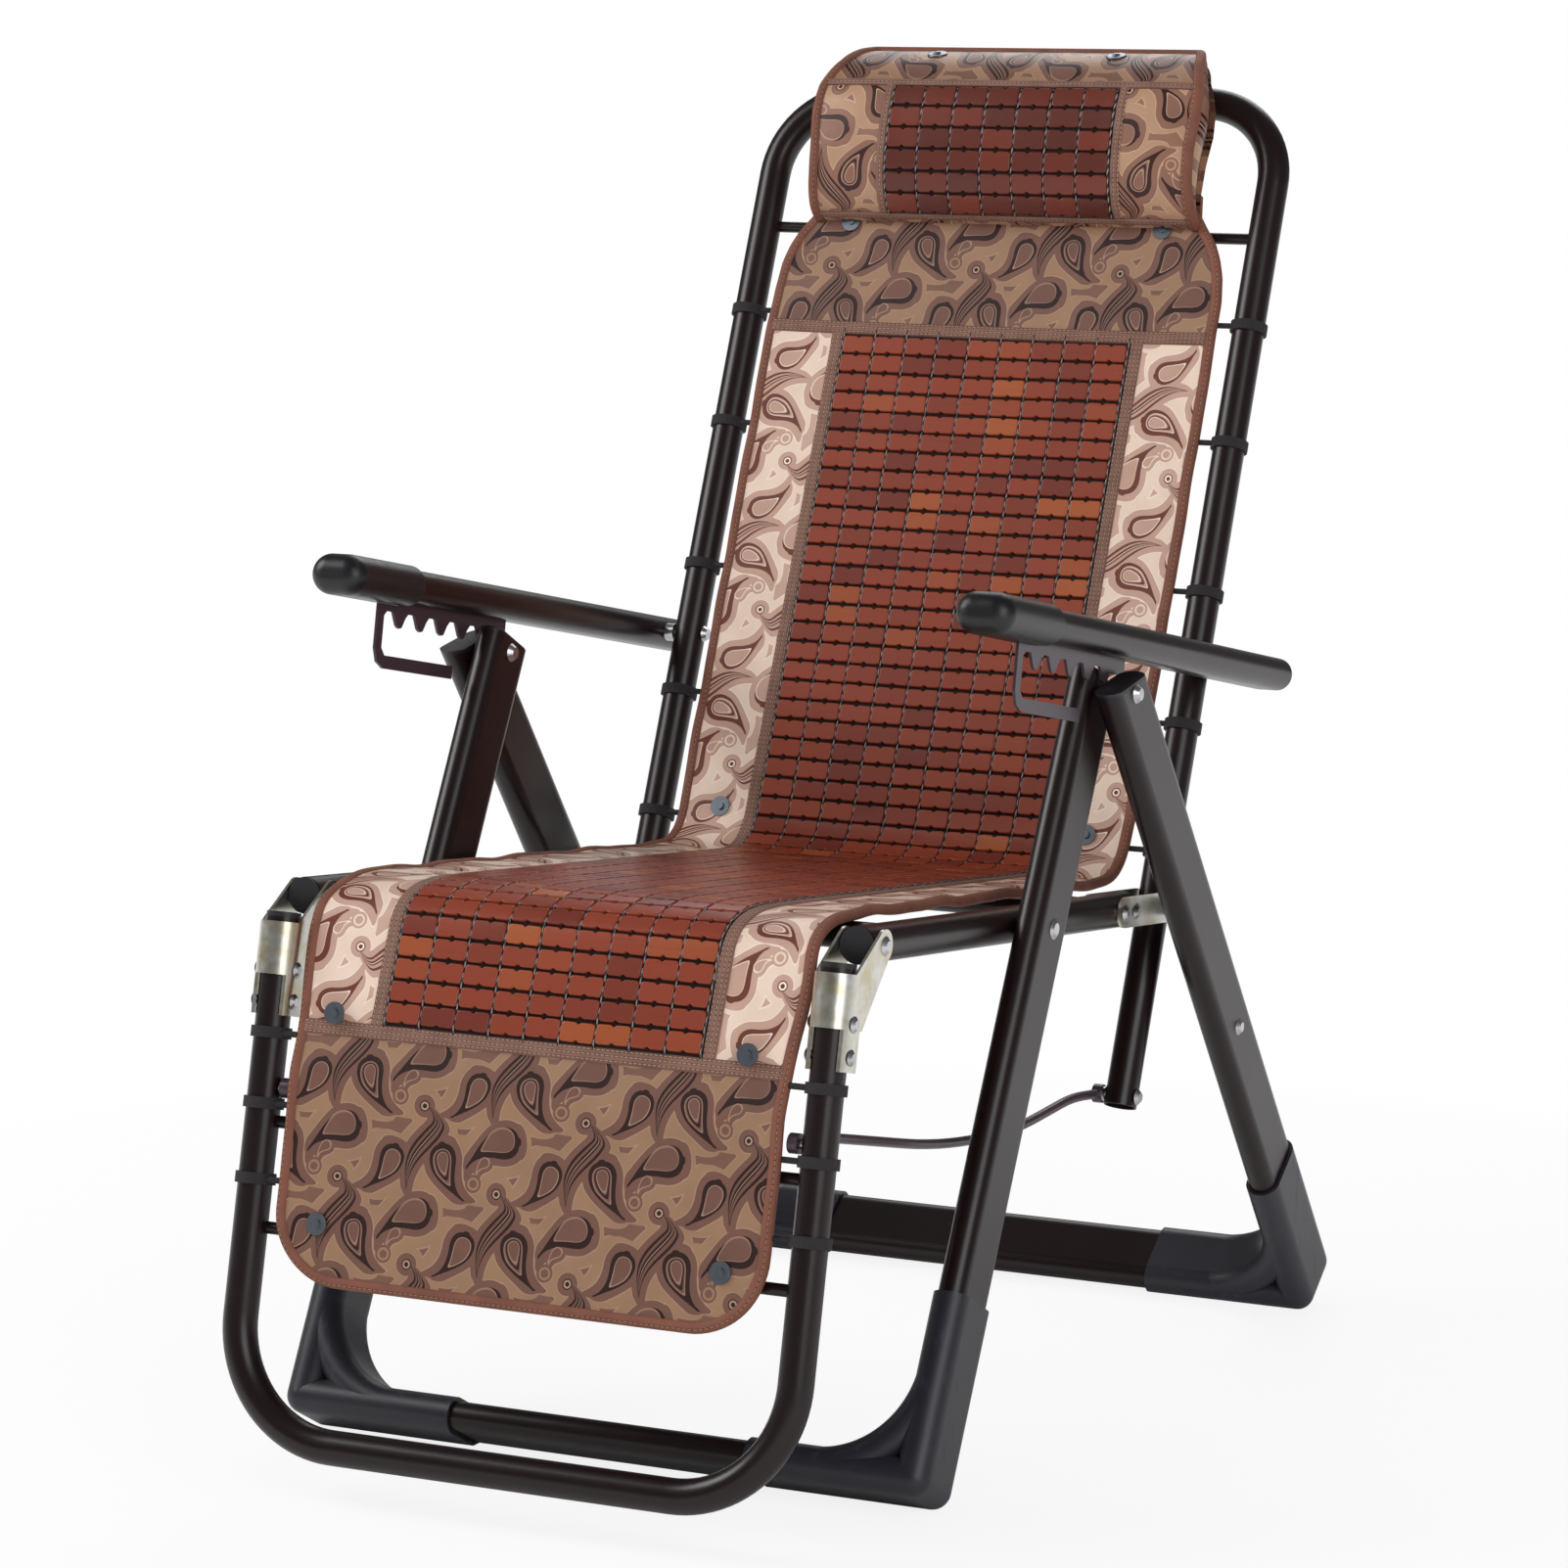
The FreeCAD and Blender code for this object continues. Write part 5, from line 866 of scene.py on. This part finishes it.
class RECLINER_OT_cloth(Operator):
    """Make the padded cloth of the mat in two halves that meet in the middle of the seat"""

    bl_idname = "recliner.cloth"
    bl_label = "Mat cloth"

    def execute(self, context):
        sizes = context.scene.recliner_sizes
        field = sizes.tile_wide * sizes.columns / 2 + 0.003
        for part, (start, stop) in HALVES.items():
            if part == "front":
                bend = HEM - HEM_ROUND + HEM_ROUND * np.sin(np.linspace(0, math.pi / 2, 26))
                rows = np.concatenate([np.arange(start, stop - 0.066, 0.005), bend])
            else:
                rows = np.linspace(start, stop, 130)
            along, reach = np.meshgrid(rows, np.linspace(-1, 1, 73), indexing="ij")
            across = reach * np.maximum(half_width(along) - 0.0035, 0.02)
            points, faces, kind = slab(on_mat(across, along), on_mat(across, along, -sizes.cloth_thick))
            uv = np.stack([across, along], -1).reshape(-1, 2)
            uv = np.concatenate([uv, uv])
            middle = uv[faces].mean(1)
            band = (middle[:, 1] <= FIELD_TOP) | (middle[:, 1] >= FIELD_LOW)
            tiled = ~band & (np.abs(middle[:, 0]) < field)
            which = np.where(kind == 0, np.where(tiled, 2, np.where(band, 1, 0)), 3)
            piece = new_piece("mat_cloth_" + part, points, faces, ["sides", "bands", "net", "backing"], uv, which)
            if part == "rear":
                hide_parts("back_mat", "seat_mat")
            else:
                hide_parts("leg_mat")
            hang(piece, part)
        return {"FINISHED"}


class RECLINER_OT_tiles(Operator):
    """Lay the rows of lacquered bamboo tiles and the threads between them"""

    bl_idname = "recliner.tiles"
    bl_label = "Tiles"

    def execute(self, context):
        sizes = context.scene.recliner_sizes
        rows = int((FIELD_LOW - FIELD_TOP - 0.010) / sizes.tile_tall)
        tall = (FIELD_LOW - FIELD_TOP - 0.012) / rows
        centres = FIELD_TOP + 0.006 + tall * (np.arange(rows) + 0.5)
        for seed, (part, (start, stop)) in enumerate(HALVES.items(), 11):
            mine = centres[(centres >= start) & (centres < stop)]
            ends = max(start, FIELD_TOP), min(stop, FIELD_LOW)
            lay_field(part, sizes.columns, sizes.tile_wide, mine, tall - 0.0022, ends, on_mat, seed, "tiles", part)
        return {"FINISHED"}


class RECLINER_OT_trim(Operator):
    """Sew the tapes round the tiles and fold the binding over the mat's edge"""

    bl_idname = "recliner.trim"
    bl_label = "Tapes and binding"

    def execute(self, context):
        sizes = context.scene.recliner_sizes
        half = sizes.tape_wide / 2
        side = sizes.tile_wide * sizes.columns / 2 + half + 0.0008
        for part, (start, stop) in HALVES.items():
            low, high = max(start, FIELD_TOP - half), min(stop, FIELD_LOW + half)
            strips = [ribbon((x, low), (x, high), half, 0.0014, on_mat, False) for x in (-side, side)]
            seam, off = (FIELD_TOP, -0.001) if part == "rear" else (FIELD_LOW, 0.001)
            reach = float(half_width(seam)) - 0.006
            strips.append(ribbon((-reach, seam + off), (reach, seam + off), half, 0.0020, on_mat, True))
            sew("tape_" + part, strips, "tape", part)
            lines = edge_path(start, stop, sizes.binding * 0.42)
            sew("binding_" + part, binding_on(lines, on_mat, sizes.binding, 0.0088), "binding", part)
        return {"FINISHED"}


# Pillow

PILLOW_CURVE = rounded([(-0.0080, 0.6090), (-0.0190, 0.6100), (-0.0325, 0.6165), (-0.0455, 0.6330),
                        (-0.0545, 0.6570), (-0.0600, 0.6940), (-0.0585, 0.7220), (-0.0460, 0.7480),
                        (-0.0270, 0.7670), (-0.0090, 0.7760)])
PILLOW_ALONG = lengths(PILLOW_CURVE)
PILLOW_TOP = PILLOW_ALONG[-1]
PILLOW_REAR = -0.0152
PRINT_SHIFT = 0.31  # moves the pillow's print along


def station_up(up):
    """Distance along the pillow's face of the height up, on its way from the foot to the top edge."""
    return float(np.interp(up, np.maximum.accumulate(PILLOW_CURVE[:, 1]), PILLOW_ALONG))


def pillow_half(along):
    """Half the pillow's width: a little fuller at the crown, narrower at the top, rounded at the upper corners."""
    up = np.interp(along, PILLOW_ALONG, PILLOW_CURVE[:, 1])
    base = np.interp(up, [0.615, 0.640, 0.668, 0.697, 0.722, 0.750], [0.1885, 0.1865, 0.1865, 0.1890, 0.1875, 0.1800])
    past = np.clip((up - 0.735) / 0.044, 0, 1)
    return base - 0.026 * (1 - np.sqrt(np.maximum(0, 1 - past ** 2)))


def pillow_swell(across, along):
    """Fullness across the pillow: nearly flat behind the tiles, fuller over the sides, soft creases near the seams."""
    share = np.clip(np.abs(across) / pillow_half(along), 0, 1)
    full = 1 + 0.035 * np.sin(math.pi * np.clip((share - 0.55) / 0.45, 0, 1)) - 0.05 * share ** 8
    crease = 0.016 * np.exp(-(((share - 0.86) / 0.10) ** 2)) * np.sin(along * 150 + across * 30)
    return full + crease


def on_pillow(across, along, lift=0.0):
    """A point of the pillow's face; along runs from its foot over the front to the top edge."""
    across, along, lift = np.broadcast_arrays(np.asarray(across, float), np.asarray(along, float), lift)
    out = np.interp(along, PILLOW_ALONG, PILLOW_CURVE[:, 0])
    up = np.interp(along, PILLOW_ALONG, PILLOW_CURVE[:, 1])
    slope = np.gradient(PILLOW_CURVE, PILLOW_ALONG, axis=0)
    slope /= np.linalg.norm(slope, axis=1)[:, None]
    side_out = -np.interp(along, PILLOW_ALONG, slope[:, 1])
    side_up = np.interp(along, PILLOW_ALONG, slope[:, 0])
    out = np.where(out < PILLOW_REAR, PILLOW_REAR + (out - PILLOW_REAR) * pillow_swell(across, along), out)
    place = on_back(up + side_up * lift, out + side_out * lift)
    return np.concatenate([across[..., None], place], -1)


class RECLINER_OT_pillow(Operator):
    """Make the head pillow with its tiles, tapes, binding and top snaps"""

    bl_idname = "recliner.pillow"
    bl_label = "Head pillow"

    def execute(self, context):
        sizes = context.scene.recliner_sizes
        steps = np.concatenate([-1 - np.linspace(1, 0.1, 9), np.linspace(-1, 1, 97), 1 + np.linspace(0.1, 1, 9)])
        along, reach = np.meshgrid(np.linspace(0, PILLOW_TOP, 90), steps, indexing="ij")
        gusset = np.clip(np.abs(reach) - 1, 0, 1)
        across = np.clip(reach, -1, 1) * (pillow_half(along) - 0.003)
        front = on_pillow(across, along)
        level = np.interp(along, PILLOW_ALONG, PILLOW_CURVE[:, 1])
        low = np.clip((level - 0.609) * 0.945 + 0.6105, 0, 0.7725)
        back = (PILLOW_REAR + 0.0075 * np.clip((level - 0.752) / 0.02, 0, 1)
                + 0.0092 * np.clip((0.628 - level) / 0.024, 0, 1))
        side = np.sign(reach) * (np.abs(across) + 0.0050 * np.sin(math.pi * gusset) - 0.006 * gusset)
        seam = np.concatenate([side[..., None], on_back(low, back)], -1)
        front = front + (seam - front) * (gusset ** 0.9)[..., None]
        front[..., 0] = side
        rear = np.concatenate([(side * 0.998)[..., None], on_back(low, back + 0.0004)], -1)
        points, faces, kind = slab(front, rear)
        uv = np.stack([across, along + PRINT_SHIFT], -1).reshape(-1, 2)
        uv = np.concatenate([uv, uv])
        middle = uv[faces].mean(1) - [0, PRINT_SHIFT]
        rows, columns = 6, 7
        low, high = (station_up(up) for up in (0.6130, 0.7230))
        tall = (high - low - 0.003) / rows
        field = sizes.pillow_tile * columns / 2
        inside = (np.abs(middle[:, 0]) < field + 0.003) & (middle[:, 1] > low) & (middle[:, 1] < high)
        band = (middle[:, 1] > high) & (np.abs(middle[:, 0]) < 0.5)
        lining = (kind == 1) & (np.abs(middle[:, 0]) < pillow_half(middle[:, 1]) - 0.006)
        which = np.where(lining, 3, np.where(inside, 2, np.where(band, 1, 0)))
        pillow = new_piece("head_pillow_cover", points, faces, ["head", "bands", "net", "backing"], uv, which)
        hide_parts("head_pillow")
        hang(pillow, "back")
        centres = low + 0.0015 + tall * (np.arange(rows) + 0.5)
        # The pillow's tiles take the darker tile copy, with their tints times 0.55: painted shade.
        lay_field("head", columns, sizes.pillow_tile, centres, tall - 0.0020, (low, high), on_pillow, 31,
                  "head_tiles", "back", 0.55)
        half = sizes.tape_wide * 0.36
        side = field + half + 0.0008
        strips = [ribbon((x, low - 0.004), (x, high + half), half, 0.0014, on_pillow, False) for x in (-side, side)]
        for level in (low - half * 0.9, high + half * 0.7):
            reach = float(pillow_half(level)) - 0.006
            strips.append(ribbon((-reach, level), (reach, level), half * 0.85, 0.0018, on_pillow, True))
        sew("tape_head", strips, "tape", "back")
        line = np.linspace(0.004, PILLOW_TOP * 0.995, 60)
        right = np.stack([pillow_half(line) - 0.0045, line], 1)
        top = np.linspace(right[-1, 0], -right[-1, 0], 40)[1:-1]
        crown = np.stack([top, np.full(len(top), line[-1])], 1)
        whole = np.concatenate([right, crown, (right * [-1, 1])[::-1]])
        sew("binding_head", binding_on([whole], on_pillow, sizes.binding, 0.0112), "binding", "back")
        self.snaps()
        return {"FINISHED"}

    def snaps(self):
        """Two snaps near the top edge: a lathe profile, radius against height, turned about the face's normal."""
        profile = np.array([(0.0, 0.0030), (0.0022, 0.0029), (0.0032, 0.0022), (0.0034, 0.0012), (0.0052, 0.0010),
                            (0.0080, 0.0013), (0.0090, 0.0008), (0.0092, 0.0)])
        sides = 24
        turn = np.linspace(0, 2 * math.pi, sides, endpoint=False)[:, None]
        along, right = station_up(0.7640), np.array([1.0, 0.0, 0.0])
        last = (len(profile) - 1) * sides
        faces = quads(len(profile), sides, around=True).tolist() + [list(range(last, last + sides))]
        parts = []
        for x in (-0.088, 0.088):
            centre = on_pillow(x, along)
            ahead = on_pillow(x, along + 0.004) - centre
            ahead /= np.linalg.norm(ahead)
            up = np.cross(right, ahead)
            if up[2] < 0:
                up = -up
            ring = centre + profile[:, None, :1] * (np.cos(turn) * right + np.sin(turn) * ahead)
            points = (ring + profile[:, None, 1:] * up).reshape(-1, 3)
            parts.append((points, faces, np.zeros((len(points), 2))))
        sew("pillow_snaps", parts, "snap", "back")


class RECLINER_OT_finishes(Operator):
    """Give each part of the frame its paint, plating or plastic"""

    bl_idname = "recliner.finishes"
    bl_label = "Frame finishes"

    def execute(self, context):
        for key, names in NODE_FINISH.items():
            for name in names:
                materials = frame["nodes"][name].data.materials
                materials.clear()
                materials.append(finishes()[key])
        return {"FINISHED"}


class RECLINER_OT_stage(Operator):
    """Set the pale floor, soft lamps and camera"""

    bl_idname = "recliner.stage"
    bl_label = "Stage"

    def execute(self, context):
        scene = context.scene
        sides = 96
        turn = np.linspace(0, 2 * math.pi, sides, endpoint=False)
        radii = np.array([0.6, 1.2, 2.0, 3.5, 6.0, 12.0, 40.0])
        ring = np.stack([np.cos(turn), np.sin(turn), np.zeros(sides)], 1)
        points = np.concatenate([np.zeros((1, 3)), (radii[:, None, None] * ring).reshape(-1, 3)]) - [0, 0, 0.0004]
        faces = (quads(len(radii), sides, around=True) + 1).tolist()
        faces += [[0, k + 1, (k + 1) % sides + 1] for k in range(sides)]
        floor = new_piece("floor", points, faces, ["floor"], smooth=False)
        if floor.data.polygons[0].normal.z < 0:
            floor.data.flip_normals()
        for name, spot, aim, size, power, tint in (
            ("key", (-3.3, -1.5, 2.9), (0, 0, 0.55), 2.0, 88.0, (1.0, 0.99, 0.98)),
            ("fill", (3.1, -2.6, 2.0), (0, 0, 0.5), 2.4, 62.0, (0.98, 0.99, 1.0)),
            ("rear", (-0.6, 2.8, 2.8), (0, 0, 0.5), 2.2, 40.0, (1.0, 1.0, 1.0)),
        ):
            lamp = bpy.data.lights.new(name, "AREA")
            lamp.shape = "SQUARE"
            lamp.size = size
            lamp.energy = power
            lamp.color = tint
            item = bpy.data.objects.new(name, lamp)
            item.location = spot
            way = np.array(aim) - np.array(spot)
            tilt = math.acos(-way[2] / np.linalg.norm(way))
            item.rotation_euler = (tilt, 0, math.atan2(way[1], way[0]) - math.pi / 2)
            scene.collection.objects.link(item)
        self.sky(scene)
        camera = bpy.data.cameras.new("camera")
        camera.sensor_width = 36.0
        camera.lens = 125.32
        item = bpy.data.objects.new("camera", camera)
        item.location = (2.00797, -4.05727, 1.21887)
        item.rotation_euler = (math.radians(81.13), 0, math.radians(26.36))
        scene.collection.objects.link(item)
        scene.camera = item
        scene.view_settings.view_transform = "Standard"
        return {"FINISHED"}

    def sky(self, scene):
        """White behind the chair, a softer white for its light and a darker room in its reflections."""
        world = bpy.data.worlds.new("studio")
        world.use_nodes = True
        tree = world.node_tree
        path = tree.nodes.new("ShaderNodeLightPath")

        def lit(ray, share):
            made = tree.nodes.new("ShaderNodeMath")
            made.operation = "MULTIPLY_ADD"
            tree.links.new(path.outputs[ray], made.inputs[0])
            made.inputs[1].default_value = share
            return made

        room, seen = lit("Is Glossy Ray", -0.32), lit("Is Camera Ray", 0.55)
        room.inputs[2].default_value = 0.45
        tree.links.new(room.outputs[0], seen.inputs[2])
        background = tree.nodes["Background"]
        background.inputs["Color"].default_value = (1, 1, 1, 1)
        tree.links.new(seen.outputs[0], background.inputs["Strength"])
        scene.world = world


class RECLINER_PT_panel(Panel):
    """The recliner's steps in order"""

    bl_idname = "RECLINER_PT_panel"
    bl_label = "Recliner"
    bl_space_type = "VIEW_3D"
    bl_region_type = "UI"
    bl_category = "Recliner"

    def draw(self, context):
        for step in STEPS:
            self.layout.operator(step)
        for group in (context.scene.recliner_sizes, context.scene.recliner_colours):
            for name in group.bl_rna.properties.keys():
                if name not in ("rna_type", "name"):
                    self.layout.prop(group, name)


STEPS = ["recliner.stage", "recliner.finishes", "recliner.cloth", "recliner.tiles", "recliner.trim", "recliner.pillow"]
CLASSES = [ReclinerSizes, ReclinerColours, RECLINER_OT_cloth, RECLINER_OT_tiles, RECLINER_OT_trim,
           RECLINER_OT_pillow, RECLINER_OT_finishes, RECLINER_OT_stage, RECLINER_PT_panel]


def register():
    for item in CLASSES:
        bpy.utils.register_class(item)
    bpy.types.Scene.recliner_sizes = PointerProperty(type=ReclinerSizes)
    bpy.types.Scene.recliner_colours = PointerProperty(type=ReclinerColours)


def unregister():
    del bpy.types.Scene.recliner_sizes
    del bpy.types.Scene.recliner_colours
    for item in reversed(CLASSES):
        bpy.utils.unregister_class(item)


def main():
    register()
    for step in STEPS:
        group, name = step.split(".")
        getattr(getattr(bpy.ops, group), name)()


if __name__ == "__main__":
    main()
